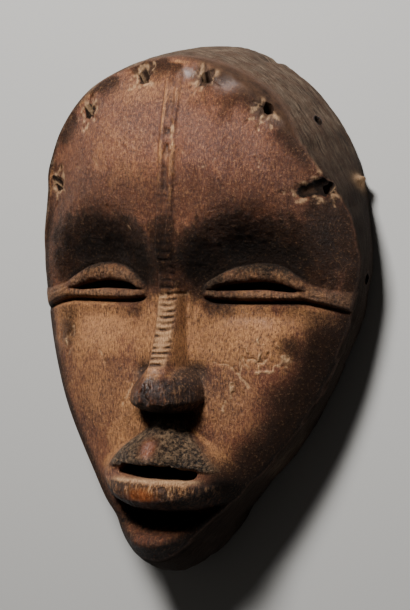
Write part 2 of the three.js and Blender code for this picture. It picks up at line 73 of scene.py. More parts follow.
def ease(start, end, t):
    """0 before start, 1 after end, and 3s^2 - 2s^3 between."""
    s = np.clip((t - start) / (end - start), 0, 1)
    return s * s * (3 - 2 * s)


def fade(start, end, t):
    """1 before start and 0 after end, as smooth as ease."""
    return 1 - ease(start, end, t)


def between(rise_start, rise_end, fall_start, fall_end, t):
    """A window: it rises, stays at 1 and falls back to 0."""
    return ease(rise_start, rise_end, t) * fade(fall_start, fall_end, t)


def bell(t):
    """1 in the middle, falling as e to the power -t^2."""
    return np.exp(-t * t)


def blend_max(a, b, radius):
    """The larger of two heights, with a fillet of about that radius where they cross."""
    near = np.maximum(radius - np.abs(a - b), 0) / radius
    return np.maximum(a, b) + near * near * radius / 4


def mottle(x, y, cell_x, cell_y, seed):
    """Smooth random heights from 0 to 1: seeded values at the corners of cells, eased in between."""
    values = np.random.default_rng(seed).random((MOTTLE_ROWS, MOTTLE_COLUMNS))
    u, v = x / cell_x, y / cell_y
    i, j = np.floor(u).astype(int), np.floor(v).astype(int)
    s, t = ease(0, 1, u - i), ease(0, 1, v - j)

    def corner(a, b):
        return values[(i + a) % MOTTLE_ROWS, (j + b) % MOTTLE_COLUMNS]

    low = corner(0, 0) * (1 - s) + corner(1, 0) * s
    return low * (1 - t) + (corner(0, 1) * (1 - s) + corner(1, 1) * s) * t


# %% [markdown]
# ## The two outlines
# The mask has two egg-shaped outlines: the border of the face, high above the table, and the flat back rim.
# Each is a half ellipse whose width is corrected by stations. The chin leans a little to the left, and the
# upper right of the border is cut back, as the carver left it.

# %% Outline stations
FACE_TOP, FACE_BOTTOM = 108, -113.5
FACE_WIDTH = 154
FACE_SHARES = [
    (-110, 0.130), (-97, 0.273), (-88, 0.383), (-78, 0.487), (-60, 0.662), (-43, 0.792), (-20, 0.909),
    (5, 0.981), (30, 1), (48, 0.935), (67, 0.809), (93, 0.532), (103, 0.299),
]
FACE_MIDDLES = [
    (-118, -6.5), (-104, -5), (-90, -3.6), (-75, -2.2), (-50, -1.5), (-30, -0.8), (0, 0), (40, 0),
    (49, -0.6), (60, -3), (77, -5), (93, -5), (108, -3),
]
BORDER_HEIGHTS = [
    (-115, 45), (-100, 42), (-80, 38), (-60, 32), (-30, 26), (0, 24), (20, 25), (32, 28), (48, 34),
    (56, 38), (67, 41), (77, 44), (93, 49), (105, 52),
]
RIM_TOP, RIM_BOTTOM = 118.3, -115.5
RIM_SHARES = [
    (-111, 0.156), (-90, 0.344), (-64, 0.571), (-30, 0.792), (0, 0.927), (24, 0.961), (52, 0.913),
    (78, 0.790), (96, 0.610), (110, 0.370),
]
RIM_MIDDLES = [(-118, -8), (-104, -5.5), (-90, -3.6), (-75, -2), (-50, -0.5), (0, 0)]
SIDE_BULGES = [(-118, 6), (-100, 4), (-80, 2), (-50, 1.5), (60, 1.8), (118, 1.5)]
RIM_WIDTH, OUTERMOST_STATION = 9, 0.975


class Egg:
    """An outline: y runs over a middle and half length; x over half widths round a leaning middle."""

    def __init__(self, top, bottom, half_widths, middles):
        self.centre, self.half, self.middles = (top + bottom) / 2, (top - bottom) / 2, middles
        shares = [((y - self.centre) / self.half, y, w) for y, w in half_widths]
        self.full = [(y, w / math.sqrt(1 - s * s)) for s, y, w in shares if abs(s) < OUTERMOST_STATION]

    def place(self, xd, yd):
        """Place in plan of a point (xd, yd) of the unit disc."""
        y = self.centre + self.half * yd
        return xd * along(self.full, y) + along(self.middles, y), y

    def half_at(self, y):
        """Half width at y."""
        return along(self.full, y) * np.sqrt(np.clip(1 - ((y - self.centre) / self.half) ** 2, 1e-9, 1))

    def rho(self, x, y):
        """0 in the middle, 1 on the outline: the distance from the middle of the unit disc."""
        yd = (y - self.centre) / self.half
        return np.hypot((x - along(self.middles, y)) / along(self.full, y), yd)


face_half_widths = [(y, share * FACE_WIDTH / 2) for y, share in FACE_SHARES]
rim_half_widths = [(y, share * FACE_WIDTH / 2) for y, share in RIM_SHARES]
hollow_top, hollow_bottom = RIM_TOP - RIM_WIDTH, RIM_BOTTOM + RIM_WIDTH
hollow_half_widths = [
    (y, w - RIM_WIDTH) for y, w in rim_half_widths if hollow_bottom + RIM_WIDTH < y < hollow_top - RIM_WIDTH
]
FACE = Egg(FACE_TOP, FACE_BOTTOM, face_half_widths, FACE_MIDDLES)
RIM = Egg(RIM_TOP, RIM_BOTTOM, rim_half_widths, RIM_MIDDLES)
HOLLOW = Egg(hollow_top, hollow_bottom, hollow_half_widths, RIM_MIDDLES)
print("face border", FACE_TOP - FACE_BOTTOM, "mm long, rim", round(RIM_TOP - RIM_BOTTOM, 1), "mm")

# %% [markdown]
# ## The front as one height function
# Seen from above, the front is a height for every place in plan. That suits a low relief: each form is a
# small formula, and forms are added or blended as a carver leaves them standing. The cheeks come first,
# then the domed forehead that turns under into the eye hollows.

# %% Cheeks and forehead
FEATURE_MIDDLES = [
    (-118, -6), (-104, -4), (-92, -0.8), (-80, 0.5), (-60, 0.8), (0, 0.4), (40, 1.2), (104, 0),
]
FEATURE_TILT = 0.03
CHEEK_MIDDLE_HEIGHTS = [(-115, 48), (-105, 54), (-92, 48), (-80, 49), (-66, 50), (-20, 49.5), (20, 50)]
CHEEK_EDGE_HEIGHTS = [(-115, 46), (-100, 46), (-80, 42), (-60, 36), (-30, 33), (0, 31), (20, 32)]
FOREHEAD_HEIGHT, FOREHEAD_FALL, FOREHEAD_HALF_WIDTH, FOREHEAD_PEAK = 62.8, 24, 66, 58
FOREHEAD_CROWN_DROP, FOREHEAD_BROW_DROP = 7.7, 1.7
BROW_DEPTH = 31
BROW_FEET = [(0, -5), (8, 1), (14, 8), (22, 14.5), (38, 18), (54, 14.5), (66, 9), (80, 6)]
SOCKET_DEPTH, SOCKET_MIDDLE, SOCKET_REACH, SOCKET_FOOT, SOCKET_FULL = 6.4, 37, 17, -22, 2


def cheeks(x, y):
    """From the middle height to the edge height, by a soft and a steep power of the share, less a socket."""
    a = np.abs(x)
    s = np.clip(a / FACE.half_at(y), 0, 1)
    middle = along(CHEEK_MIDDLE_HEIGHTS, y)
    socket = bell((a - SOCKET_MIDDLE) / SOCKET_REACH) * ease(SOCKET_FOOT, SOCKET_FULL, y)
    fall = 0.62 * s**1.25 + 0.38 * s**3
    return middle - (middle - along(CHEEK_EDGE_HEIGHTS, y)) * fall - SOCKET_DEPTH * socket


def forehead(x, y):
    """A dome: it falls with the distance across to the power 2.6, and with the square of that along."""
    t = (y - FOREHEAD_PEAK) / (RIM_TOP - FOREHEAD_PEAK)
    drop = np.where(t > 0, FOREHEAD_CROWN_DROP, FOREHEAD_BROW_DROP) * t * t
    return FOREHEAD_HEIGHT - FOREHEAD_FALL * (np.abs(x) / FOREHEAD_HALF_WIDTH) ** 2.6 - drop


def brow(x, y):
    """Cheeks and sockets below, forehead above, eased over the brow's depth from its foot."""
    low = cheeks(x, y)
    return low + (forehead(x, y) - low) * ease(0, BROW_DEPTH, y - along(BROW_FEET, np.abs(x)))


# %% [markdown]
# ## Eyes
# Each eye is a half-moon slit between two raised lids. The lids are rounded bars; beyond the slit's outer
# corner they join into one bar that runs to the temple. A groove under the lower lid sets it off from the
# cheek. Bars are drawn from their edges, so lids and slit always fit each other.

# %% Lids and grooves
LID_TOPS = [
    (12, 4), (14.5, 8.6), (19, 12.4), (27, 16.6), (38, 18.3), (46, 17), (53, 13.2), (60, 9), (70, 6.6),
]
SLIT_START, SLIT_END, SLIT_CORNER = 17.5, 54.5, 6.8
SLIT_TOPS = [(SLIT_START, SLIT_CORNER), (21, 8.6), (30, 10.3), (38, 10.6), (46, 9.8), (SLIT_END, SLIT_CORNER)]
SLIT_BOTTOMS = [(SLIT_START, SLIT_CORNER), (20, 6.4), (36, 7), (52, 6.1), (SLIT_END, SLIT_CORNER)]
LID_GROOVES = [(13, 3), (20, 1.7), (30, 1.4), (54, 1.8), (62, 0.6), (76, -3.2)]
LID_START, LID_JOIN, LID_JOIN_LENGTH, LID_LEAST_HALF, LID_ROUNDING = 12.5, 54, 6, 1.6, 0.35
UPPER_LID_HEIGHT, LOWER_LID_HEIGHT, TEMPLE_BAR_HEIGHT = 4.2, 3.2, 3.6
LID_GROOVE_DEPTH, LID_GROOVE_HALF_WIDTH = 3.2, 1.2
CHEEK_SHELF_HEIGHT, CHEEK_SHELF_LENGTH, CHEEK_SHELF_STEP = 1.6, 8, 0.9


def bar(y, low, high):
    """Half an ellipse between two edges: 1 along the middle of the bar, 0 at its edges."""
    half_height = np.maximum((high - low) / 2, LID_LEAST_HALF) + LID_ROUNDING
    return np.sqrt(np.clip(1 - ((y - (high + low) / 2) / half_height) ** 2, 0, 1))


def lid_bars(a, y):
    """Upper lid, lower lid and temple bar, each 0 to 1, and how far the place is past the outer corner."""
    top, foot = along(LID_TOPS, a), along(LID_GROOVES, a) + 0.75 * LID_GROOVE_HALF_WIDTH
    upper = bar(y, along(SLIT_TOPS, a), top)
    lower = bar(y, foot, along(SLIT_BOTTOMS, a))
    return upper, lower, bar(y, foot, top), ease(LID_JOIN, LID_JOIN + LID_JOIN_LENGTH, a)


def eyes(a, y):
    """The highest bar, less a bell-shaped groove along the lower lid's foot."""
    upper, lower, temple, outer = lid_bars(a, y)
    rise = (1 - outer) * np.maximum(UPPER_LID_HEIGHT * upper, LOWER_LID_HEIGHT * lower)
    rise = rise + outer * TEMPLE_BAR_HEIGHT * temple
    groove = LID_GROOVE_DEPTH * bell((y - along(LID_GROOVES, a)) / LID_GROOVE_HALF_WIDTH)
    return ease(LID_START, SLIT_START, a) * (rise - groove)


def cheek_shelf(a, y):
    """A low step on the cheek, under the groove."""
    edge = along(LID_GROOVES, a)
    rise = ease(edge - CHEEK_SHELF_LENGTH, edge - CHEEK_SHELF_STEP, y)
    over = rise * fade(edge - CHEEK_SHELF_STEP, edge, y)
    shelf = CHEEK_SHELF_HEIGHT * over * ease(LID_START, SLIT_START, a)
    return shelf * fade(0.8, 1, a / FACE.half_at(y))


# %% [markdown]
# ## Nose, muzzle, lips and chin
# The nose is a narrow flat-topped crest that swells into a round tip. Under it stands the muzzle, a steep
# triangular block that carries the lips, and below a deep recess the chin is a small curved ledge.

# %% Nose
CREST_HEIGHTS = [(-44, 66), (-38, 69.5), (-32, 68), (-26, 64), (-18, 60.5), (-8, 58), (4, 57), (20, 57.5)]
CREST_START, CREST_END, CREST_HALF_WIDTH, CREST_FOOT, CREST_DROP, CREST_ROUNDING = 17, -45.2, 3.6, 9.5, 9, 0.8
NOSE_TIP_Y, NOSE_TIP_HALF_WIDTH, NOSE_TIP_ABOVE, NOSE_TIP_BELOW = -41, 16, 16.5, 6.5
NOSE_TIP_BASE, NOSE_TIP_RISE, NOSE_FILLET = 49, 21, 5


def nose(x, y, base):
    """A crest with eased flanks, blended with a flattened ball for the tip."""
    a = np.abs(x)
    flank = CREST_DROP * ease(CREST_HALF_WIDTH, CREST_FOOT, a) + 0.9 * np.maximum(a - CREST_FOOT, 0)
    crest = along(CREST_HEIGHTS, y) - CREST_ROUNDING * (a / CREST_HALF_WIDTH) ** 2 - flank
    length = between(CREST_END - 2, CREST_END + 2, CREST_START - 5, CREST_START + 5, y)
    bridge = blend_max(base, base + np.maximum((crest - base) * length, 0), 0.4 * NOSE_FILLET)
    up = y - NOSE_TIP_Y
    r2 = (x / NOSE_TIP_HALF_WIDTH) ** 2 + (up / np.where(up > 0, NOSE_TIP_ABOVE, NOSE_TIP_BELOW)) ** 2
    tip = np.where(r2 < 1, NOSE_TIP_BASE + NOSE_TIP_RISE * np.sqrt(np.clip(1 - r2**1.15, 0, 1)), 0)
    return blend_max(bridge, tip, NOSE_FILLET)


# %% Muzzle and lips
MUZZLE_TOP, MUZZLE_BOTTOM, MUZZLE_STEP, MUZZLE_SIDE_FALL = -47.5, -90.5, 2.5, 13
MUZZLE_HALF_WIDTHS = [(-93, 12), (-89, 19), (-83, 27.5), (-75, 31), (-64, 23.5), (-52, 9), (-46, 4)]
MUZZLE_HEIGHTS = [
    (-93, 48), (-90, 56), (-87.5, 63), (-84, 66), (-76, 65.5), (-72, 64.5), (-66, 65.5), (-60, 62.5),
    (-52, 55.5), (-46, 51),
]
LIP_PARTINGS = [(0, -72.2), (18, -72.6), (30, -76)]
LOWER_LIP_BELOW, UPPER_LIP_ABOVE, LIP_REACH, LOWER_LIP_HEIGHT, UPPER_LIP_HEIGHT = 8.6, 6, 4.6, 1.6, 1.5
PARTING_DEPTH, PARTING_REACH = 4, 2.2
MOUTH_LEFT, MOUTH_RIGHT, MOUTH_TOP, MOUTH_BOTTOM = -18.3, 19.3, -69, -75.2


def muzzle(a, y, base):
    """A block with steep eased flanks, whose crown falls towards the sides."""
    s = a / along(MUZZLE_HALF_WIDTHS, y)
    crown = along(MUZZLE_HEIGHTS, y) - MUZZLE_SIDE_FALL * np.minimum(s, 1.3) ** 2.2
    upper = ease(-MUZZLE_STEP, MUZZLE_STEP, MUZZLE_TOP - y)
    lower = ease(-MUZZLE_STEP, MUZZLE_STEP, y - MUZZLE_BOTTOM)
    return base + np.maximum(crown - base, 0) * upper * lower * fade(0.82, 1.15, s)


def lips(a, y):
    """Two soft swellings either side of a parting groove, as wide as the mouth."""
    parting = along(LIP_PARTINGS, a)
    seam = bell((y - parting) / PARTING_REACH) * fade(0.8, 1.3, a / MOUTH_RIGHT)
    lower = bell((y - parting + LOWER_LIP_BELOW) / LIP_REACH) * fade(1, 1.7, a / MOUTH_RIGHT)
    upper = bell((y - parting - UPPER_LIP_ABOVE) / LIP_REACH) * fade(0.5, 1, a / MOUTH_RIGHT)
    return LOWER_LIP_HEIGHT * lower + UPPER_LIP_HEIGHT * upper - PARTING_DEPTH * seam


# %% Chin
CHIN_LEDGE_Y, CHIN_RECESS_Y, CHIN_CURVE, CHIN_HALF_WIDTH = -105.5, -95, 0.018, 32
CHIN_LEDGE_HEIGHT, CHIN_LEDGE_REACH, CHIN_RECESS_DEPTH, CHIN_RECESS_REACH = 5, 5.5, 5, 4.5


def chin(a, y):
    """A raised ledge and a recess above it, both along a parabola."""
    curve, s = CHIN_CURVE * a * a, a / CHIN_HALF_WIDTH
    recess = bell((y - CHIN_RECESS_Y - curve) / CHIN_RECESS_REACH) * fade(0.5, 1, s)
    ledge = bell((y - CHIN_LEDGE_Y - curve) / CHIN_LEDGE_REACH) * fade(0.25, 0.8, s)
    return CHIN_LEDGE_HEIGHT * ledge - CHIN_RECESS_DEPTH * recess


# %% Scar band and the whole front
BAND_HALF_WIDTH, BAND_HEIGHT, BAND_TROUGH_HALF_WIDTH, BAND_TROUGH_DEPTH, BAND_STEP = 3.6, 1.7, 1.3, 1.0, 0.7
BAND_TOP, BAND_BOTTOM, BAND_RUN_OUT = 105, 12, 7


def scar_band(a, y):
    """A low flat band down the forehead with a trough along it."""
    band = fade(BAND_HALF_WIDTH - BAND_STEP, BAND_HALF_WIDTH + BAND_STEP, a)
    trough = fade(BAND_TROUGH_HALF_WIDTH - BAND_STEP, BAND_TROUGH_HALF_WIDTH + BAND_STEP, a)
    length = between(BAND_BOTTOM - BAND_RUN_OUT, BAND_BOTTOM, BAND_TOP - BAND_RUN_OUT, BAND_TOP, y)
    return length * (BAND_HEIGHT * band - BAND_TROUGH_DEPTH * trough)


def big_forms(x, y):
    """All the big forms in turn, at x from the feature middle."""
    a = np.abs(x)
    z = brow(x, y) + eyes(a, y) + cheek_shelf(a, y)
    z = muzzle(a, y, z) + lips(a, y) + chin(a, y)
    return nose(x, y, z) + scar_band(a, y)


# %% [markdown]
# ## The small cuts
# The knife left rows of short notches: across the lower half of the scar band, down the nose, and over both
# lids. They are geometry here, not a bump texture, because they catch the light and break the edges. No row
# is even: the pitch drifts, a notch runs slantwise, and rubbing has taken out part of another.

# %% Rows of notches
NOTCH_PITCH, NOSE_NOTCH_PITCH, LID_NOTCH_PITCH = 3.3, 2.7, 1.9
BAND_NOTCH_DEPTH, NOSE_NOTCH_DEPTH, LID_NOTCH_DEPTH = 0.75, 0.95, 0.6
TEMPLE_NOTCH_PITCH, TEMPLE_NOTCH_DEPTH = 2.3, 0.4
# Along y: where a row starts to show, shows fully, starts to fade and is gone.
BAND_ROW, CREST_ROW = (3, 7, 40, 56), (-31, -27, 2, 6)


def notches(at, beside, pitch, seed):
    """Cuts across a strip: a raised cosine along it, out of step and uneven from cut to cut."""
    drift = 0.9 * mottle(beside, at, 3 * pitch, 3 * pitch, seed)
    wave = 0.5 - 0.5 * np.cos(2 * np.pi * (at / pitch + drift))
    return wave**2 * ease(0.12, 0.75, mottle(at, beside, pitch, 1.6 * pitch, seed + 1))


def rows_of_notches(x, y):
    """Depth of the notches on the scar band, the nose, the lids and the temple bars."""
    a = np.abs(x)
    band = fade(2.6, 4.4, a) * between(*BAND_ROW, y)
    cut = BAND_NOTCH_DEPTH * band * notches(y, x, NOTCH_PITCH, 3)
    crest = fade(3.4, 5.2, a) * between(*CREST_ROW, y)
    cut += NOSE_NOTCH_DEPTH * crest * notches(y, x, NOSE_NOTCH_PITCH, 5)
    upper, lower, temple, outer = lid_bars(a, y)
    lids = np.maximum(upper, lower) ** 0.5 * ease(14, 18, a) * (1 - outer)
    cut += LID_NOTCH_DEPTH * lids * notches(x + 0.2 * y, y, LID_NOTCH_PITCH, 7)
    temples = TEMPLE_NOTCH_DEPTH * outer * temple * notches(y + 0.3 * a, x, TEMPLE_NOTCH_PITCH, 9)
    return cut + temples * fade(66, 74, a)


# %% [markdown]
# The upper lip is rough with old crust, the lower lip, the nose and the chin are worn into upright streaks,
# the trough of the band is pitted, and thin flakes of the old coat have come off the cheeks. The whole front
# keeps a soft unevenness that the rubbing never removed.

# %% Rough and streaked places
GLOSS_X, GLOSS_Y = -1.6, -62
# Along y, as for the rows.
LIP_STREAKS, CHIN_STREAKS = (-91, -88, -78, -75), (-114, -110, -101, -99)
TROUGH_PITS, LIP_CRUST = (40, 55, 92, 100), (-71, -69, -55, -50)
LIP_STREAK_DEPTH, CHIN_STREAK_DEPTH, BALL_STREAK_DEPTH = 1.0, 0.6, 1.9
TROUGH_PIT_DEPTH, BALL_SHOULDER_DEPTH = 1.1, 2.2
SOCKET_CRUST_HEIGHT, LID_CRUST_HEIGHT, FLAKE_THICKNESS = 0.36, 0.42, 0.45
BROAD_SWELL, SMALL_SWELL, CHECK_DEPTH, FINE_RELIEF = 0.6, 0.28, 0.18, 0.1


def streaks(x, y):
    """Depth of upright streaks on lip, ball and chin, hollows beside the ball, and pits in the trough."""
    a = np.abs(x)
    lip = between(*LIP_STREAKS, y) * fade(24, 29, a)
    cut = LIP_STREAK_DEPTH * lip * mottle(x, y, 1.5, 9, 13) ** 2
    cut += CHIN_STREAK_DEPTH * between(*CHIN_STREAKS, y) * mottle(x, y, 1.6, 8, 15) ** 2
    ball = bell((y + 39) / 7) * bell(x / 15) * ease(-5, 2, x - 0.5 * (y + 38) + 5)
    wavy = np.arctan2(x, -y - 20) * 17 + 0.8 * np.sin(y * 1.1)
    shoulders = BALL_SHOULDER_DEPTH * bell(np.hypot((a - 12) / 5, (y + 30) / 5))
    cut += BALL_STREAK_DEPTH * ball * mottle(wavy, y, 1.25, 6, 17) + shoulders
    trough = bell(x / 1.8) * between(*TROUGH_PITS, y)
    return cut + TROUGH_PIT_DEPTH * trough * ease(0.35, 0.8, mottle(x, y, 1.7, 3.1, 18))


def crumbs(x, y):
    """Height of the crusts: coarse on the upper lip, fine over the sockets and beside the lids."""
    lip_share = np.abs(x) / along(MUZZLE_HALF_WIDTHS, y)
    lip = between(*LIP_CRUST, y) * fade(0.8, 1.05, lip_share)
    coarse = 1.3 * mottle(x, y, 2.0, 2.2, 11) + 0.8 * mottle(x, y, 0.95, 1.1, 12) - 1.2
    fine = mottle(x, y, 0.95, 0.9, 25) + mottle(x, y, 2.1, 1.7, 27) - 1
    socket = bell((y - 26) / 15) * ease(5, 10, np.abs(x)) + 0.35 * bell((y - 60) / 30)
    lids = bell((y - 9) / 8) * ease(12, 16, np.abs(x))
    rough_lip = lip * coarse * (1 - 0.9 * bell(np.hypot(x - GLOSS_X, y - GLOSS_Y) / 3.5))
    return rough_lip + (SOCKET_CRUST_HEIGHT * socket + LID_CRUST_HEIGHT * lids) * fine


def flake_field(x, y):
    """A mottle that says where the old coat has flaked, within soft places on both cheeks."""
    where = bell(np.hypot((x - 40) / 13, (y + 22) / 11)) + 0.8 * bell(np.hypot((x + 58) / 6, (y + 18) / 13))
    where = np.maximum(where, 0.8 * bell(np.hypot((x - 31) / 7, (y + 38) / 10)))
    sheer = mottle(x + 0.7 * y, y - 0.4 * x, 4.5, 9, 33)
    return where * (0.25 + sheer + 0.5 * mottle(x, y, 1.7, 2.4, 34))


def small_cuts(x, y):
    """Everything above together, in millimetres, to be added to the big forms."""
    z = crumbs(x, y) - rows_of_notches(x, y) - streaks(x, y)
    z -= FLAKE_THICKNESS * ease(0.62, 0.7, flake_field(x, y))
    z += BROAD_SWELL * (mottle(x, y, 17, 21, 19) - 0.5) + SMALL_SWELL * (mottle(x, y, 6, 9, 21) - 0.5)
    checks = CHECK_DEPTH * mottle(x, y, 1.0, 7, 23) ** 3
    return z - checks + FINE_RELIEF * (mottle(x, y, 1.1, 1.4, 24) - 0.5)


# %% [markdown]
# ## Tie holes, scratches and chips
# A row of holes along the border once held cords. Years of tying wore their edges pale and frayed, and one
# at the upper right has broken into a wide notch. Each mark is a short groove or dent from a list, so that
# a place and a depth can be changed by hand. A groove's depth falls with the distance to its line.

# %% Holes and marks
TIE_HOLE_RADIUS = 2.2
# Bearing from the crown, in degrees, with the share outwards in front and the height on the side.
FRONT_HOLES = [(-8.4, 0.92), (14.3, 0.934), (-31.9, 0.912), (35.3, 0.971), (-57.8, 0.919), (58.7, 0.961)]
SIDE_HOLES = [(43.5, 22), (82, 15)]
FRAY_DEPTH, WAVER = 3.2, 1.3


def on_disc(bearing):
    """The edge of the unit disc at a bearing from the crown, in degrees, as an array of x and y."""
    return np.array([math.sin(math.radians(bearing)), math.cos(math.radians(bearing))])


hole_places = [FACE.place(*(rho * on_disc(bearing))) for bearing, rho in FRONT_HOLES]
# Each mark: x, y of one end, x, y of the other, half width, depth.
MARKS = [
    (57, 51, 62, 52.5, 2.6, 4.0), (62, 52.5, 66, 57, 2.9, 4.4), (66, 59, 62, 65, 1.6, 3.0),
    (61, 66, 57, 71, 0.9, 1.6), (61, 49, 56, 46, 0.6, 0.9), (64, 50, 62, 44, 0.5, 1.0),
    (67, 51, 69, 45, 0.5, 0.8), (55, 51, 50, 50, 0.6, 1.0), (67, 55, 70, 57, 0.8, 1.1),
    (40.5, 86, 41.5, 92, 1.6, 2.6), (38, 83, 34, 79, 0.5, 0.8), (40, 82, 38.5, 76, 0.5, 0.9),
    (42.5, 82, 44, 77, 0.5, 0.8), (45, 84, 50, 81, 0.5, 0.7), (44, 90, 47, 93, 1.2, 1.3),
    (-44.5, 82, -46, 76, 1.6, 1.3), (-44, 86, -43, 90, 1.2, 1.6), (-15, 100, -12, 104, 1.4, 1.8),
    (-18, 95, -22, 92, 0.9, 0.9), (14, 100, 12, 105, 1.5, 1.8), (17, 96, 21, 94, 0.6, 0.9),
    (12, 94, 10, 91, 0.5, 0.7), (-64, 54, -62, 59, 1.3, 1.8), (-65, 48, -66, 42, 1.0, 0.9),
    (16, 59, 22, 62, 0.4, 0.4), (22, 62, 25, 66, 0.35, 0.4), (25, 66, 33, 69, 0.4, 0.35),
    (-40, 64, -35, 60, 0.5, 0.5), (-29, 42, -26, 39, 0.6, 0.5), (-19, 34, -17.5, 32, 0.5, 0.5),
    (40, 64, 41, 61, 0.7, 0.5), (8, 66, 11, 64, 0.4, 0.4), (-50, 60, -46, 57, 0.4, 0.4),
    (-24, -46, -19, -36, 0.7, 0.5), (-38, -22, -34, -27, 0.7, 0.5), (-6, 3, 7, 5, 1.1, 1.1),
    (3.2, 66, 2.8, 78, 0.8, 0.8), (32.5, -21.3, 41.9, -23.4, 0.6, 0.8),
    (41.9, -23.4, 43.1, -18.7, 0.5, 0.7), (32.5, -21.3, 31.6, -29, 0.6, 0.8),
    (27.4, -25.5, 31.6, -29, 0.5, 0.7), (31.6, -29, 35.9, -34, 0.6, 0.8), (20, -24, 27.4, -25.5, 0.4, 0.5),
    (47, -24.5, 50.4, -24.5, 0.5, 0.6), (-54, -12, -57, -17, 0.6, 0.7), (-58, -9, -55, -10, 0.5, 0.6),
    (26, -41, 25, -46, 0.7, 0.6),
]


def mark_depth(x, y, mark):
    """Depth times a bell of the distance to the mark's line over its half width."""
    x0, y0, x1, y1, half_width, depth = mark
    run, rise = x1 - x0, y1 - y0
    s = np.clip(((x - x0) * run + (y - y0) * rise) / (run * run + rise * rise), 0, 1)
    return depth * bell(np.hypot(x - x0 - s * run, y - y0 - s * rise) / half_width)


def marks(x, y):
    """The deepest mark at each place, its line made to waver, and a frayed cone round each hole in front."""
    cut = np.zeros_like(x)
    waver_x, waver_y = (WAVER * (mottle(x, y, 2.3, 2.3, seed) - 0.5) for seed in (35, 36))
    x, y = x + waver_x, y + waver_y
    for mark in MARKS:
        cut = np.maximum(cut, mark_depth(x, y, mark))
    for hole_x, hole_y in hole_places:
        away = np.hypot(x - hole_x, y - hole_y)
        rays = 2.3 + 2.6 * mottle(np.arctan2(y - hole_y, x - hole_x) * 4, away, 0.8, 9, 31)
        cut = np.maximum(cut, FRAY_DEPTH * bell(away / rays))
    return cut


# %% The front with its rounded edge
ROLL_POWER, ROLL_POWER_DROP, MARK_LOSS_AT_BORDER = 9, 4, 0.7


def front_height(x, y, border, rho):
    """Big forms and cuts, rolled over to the border as rho, the share outwards, nears 1, less the marks."""
    from_middle = x - along(FEATURE_MIDDLES, y)
    level = y - FEATURE_TILT * from_middle
    z = big_forms(from_middle, level) + small_cuts(from_middle, level)
    power = ROLL_POWER - ROLL_POWER_DROP * ease(FACE_TOP * 0.37, FACE_TOP * 0.83, y)
    rolled = border + (z - border) * np.sqrt(np.clip(1 - rho**power, 0, 1))
    return rolled - marks(x, y) * (1 - MARK_LOSS_AT_BORDER * ease(0.97, 1, rho))


def border_height(yd, rho):
    """Height of the border, straight outwards from a place on the disc."""
    return along(BORDER_HEIGHTS, FACE.centre + FACE.half * yd / np.maximum(rho, 1e-6))


# %% [markdown]
# ## Grids and closing them
# The front is a square grid pressed into a disc and then into the egg outline, so there is no pole anywhere.
# Rings of points carry its edge down the side to the rim, and a fan closes the bottom. The hollow is a
# second closed body made the same way; the wall is what is left when it is taken out.

# %% Grid helpers


def disc_grid(us, vs):
    """Square to disc: x is u times the root of 1 - v^2/2, and y the same with u and v swapped."""
    u, v = np.meshgrid(us, vs)
    return u * np.sqrt(1 - v * v / 2), v * np.sqrt(1 - u * u / 2)


def lines(*stretches):
    """Grid lines over stretches (start, end, spacing), as one rising array."""
    parts = [np.linspace(a, b, max(round((b - a) / step), 1), endpoint=False) for a, b, step in stretches]
    return np.concatenate(parts + [[stretches[-1][1]]])


def edge_loop(rows, columns):
    """Indices round the edge of a grid, counterclockwise from above."""
    index = np.arange(rows * columns).reshape(rows, columns)
    return np.concatenate([index[0], index[1:, -1], index[-1, -2::-1], index[-2:0:-1, 0]])


def closed_body(front, rings, middle):
    """Points and faces of a grid, the rings under its edge, and a fan to one middle point below."""
    rows, columns = front.shape[:2]
    index = np.arange(rows * columns).reshape(rows, columns)
    quads = [np.stack([index[:-1, :-1], index[:-1, 1:], index[1:, 1:], index[1:, :-1]], -1).reshape(-1, 4)]
    upper = edge_loop(rows, columns)
    points = [front.reshape(-1, 3), *rings, np.array([middle], float)]
    for k in range(len(rings)):
        lower = rows * columns + k * len(upper) + np.arange(len(upper))
        quads.append(np.stack([upper, lower, np.roll(lower, -1), np.roll(upper, -1)], -1))
        upper = lower
    points = np.concatenate(points)
    fan = np.stack([np.roll(upper, -1), upper, np.full(len(upper), len(points) - 1)], -1)
    return points, np.concatenate(quads).tolist() + fan.tolist()


def add_object(name, data):
    """An object with its data, in the scene's collection."""
    added = bpy.data.objects.new(name, data)
    bpy.context.scene.collection.objects.link(added)
    return added


def make_mesh(name, points, faces):
    """A mesh object from points in millimetres."""
    mesh = bpy.data.meshes.new(name)
    mesh.from_pydata((points / 1000).tolist(), [], faces)
    mesh.update()
    return add_object(name, mesh)


# %% The outer body
WIDEST, STRAIGHT_SHARE, STRAIGHT_FADE = FACE_WIDTH / 2, 0.2, 14
half_lines = lines((0, 6, 0.5), (6, 14, 0.55), (14, 57, 0.48), (57, 73, 0.7), (73, WIDEST, 0.5))
columns = np.concatenate([-half_lines[:0:-1], half_lines])
row_lines = lines(
    (FACE_BOTTOM, -110, 0.5), (-110, -46, 0.75), (-46, -28, 0.6), (-28, 5, 0.5), (5, 22, 0.45),
    (22, 48, 0.5), (48, 100, 0.8), (100, FACE_TOP, 0.5),
)
xd, yd = disc_grid(columns / WIDEST, (row_lines - FACE.centre) / FACE.half)
rho = np.clip(np.hypot(xd, yd), 0, 1)
x, y = FACE.place(xd, yd)
nominal = np.broadcast_to(columns, x.shape)
straight = fade(STRAIGHT_SHARE / 2, STRAIGHT_SHARE, np.abs(nominal) / WIDEST)
straight *= between(MUZZLE_TOP - STRAIGHT_FADE, MUZZLE_TOP, BAND_TOP - STRAIGHT_FADE, BAND_TOP, y)
x = x + (nominal + along(FEATURE_MIDDLES, y) - x) * straight
front = np.stack([x, y, front_height(x, y, border_height(yd, rho), rho)], -1)
print("front grid", front.shape[:2], "highest", round(float(front[..., 2].max()), 1), "mm")

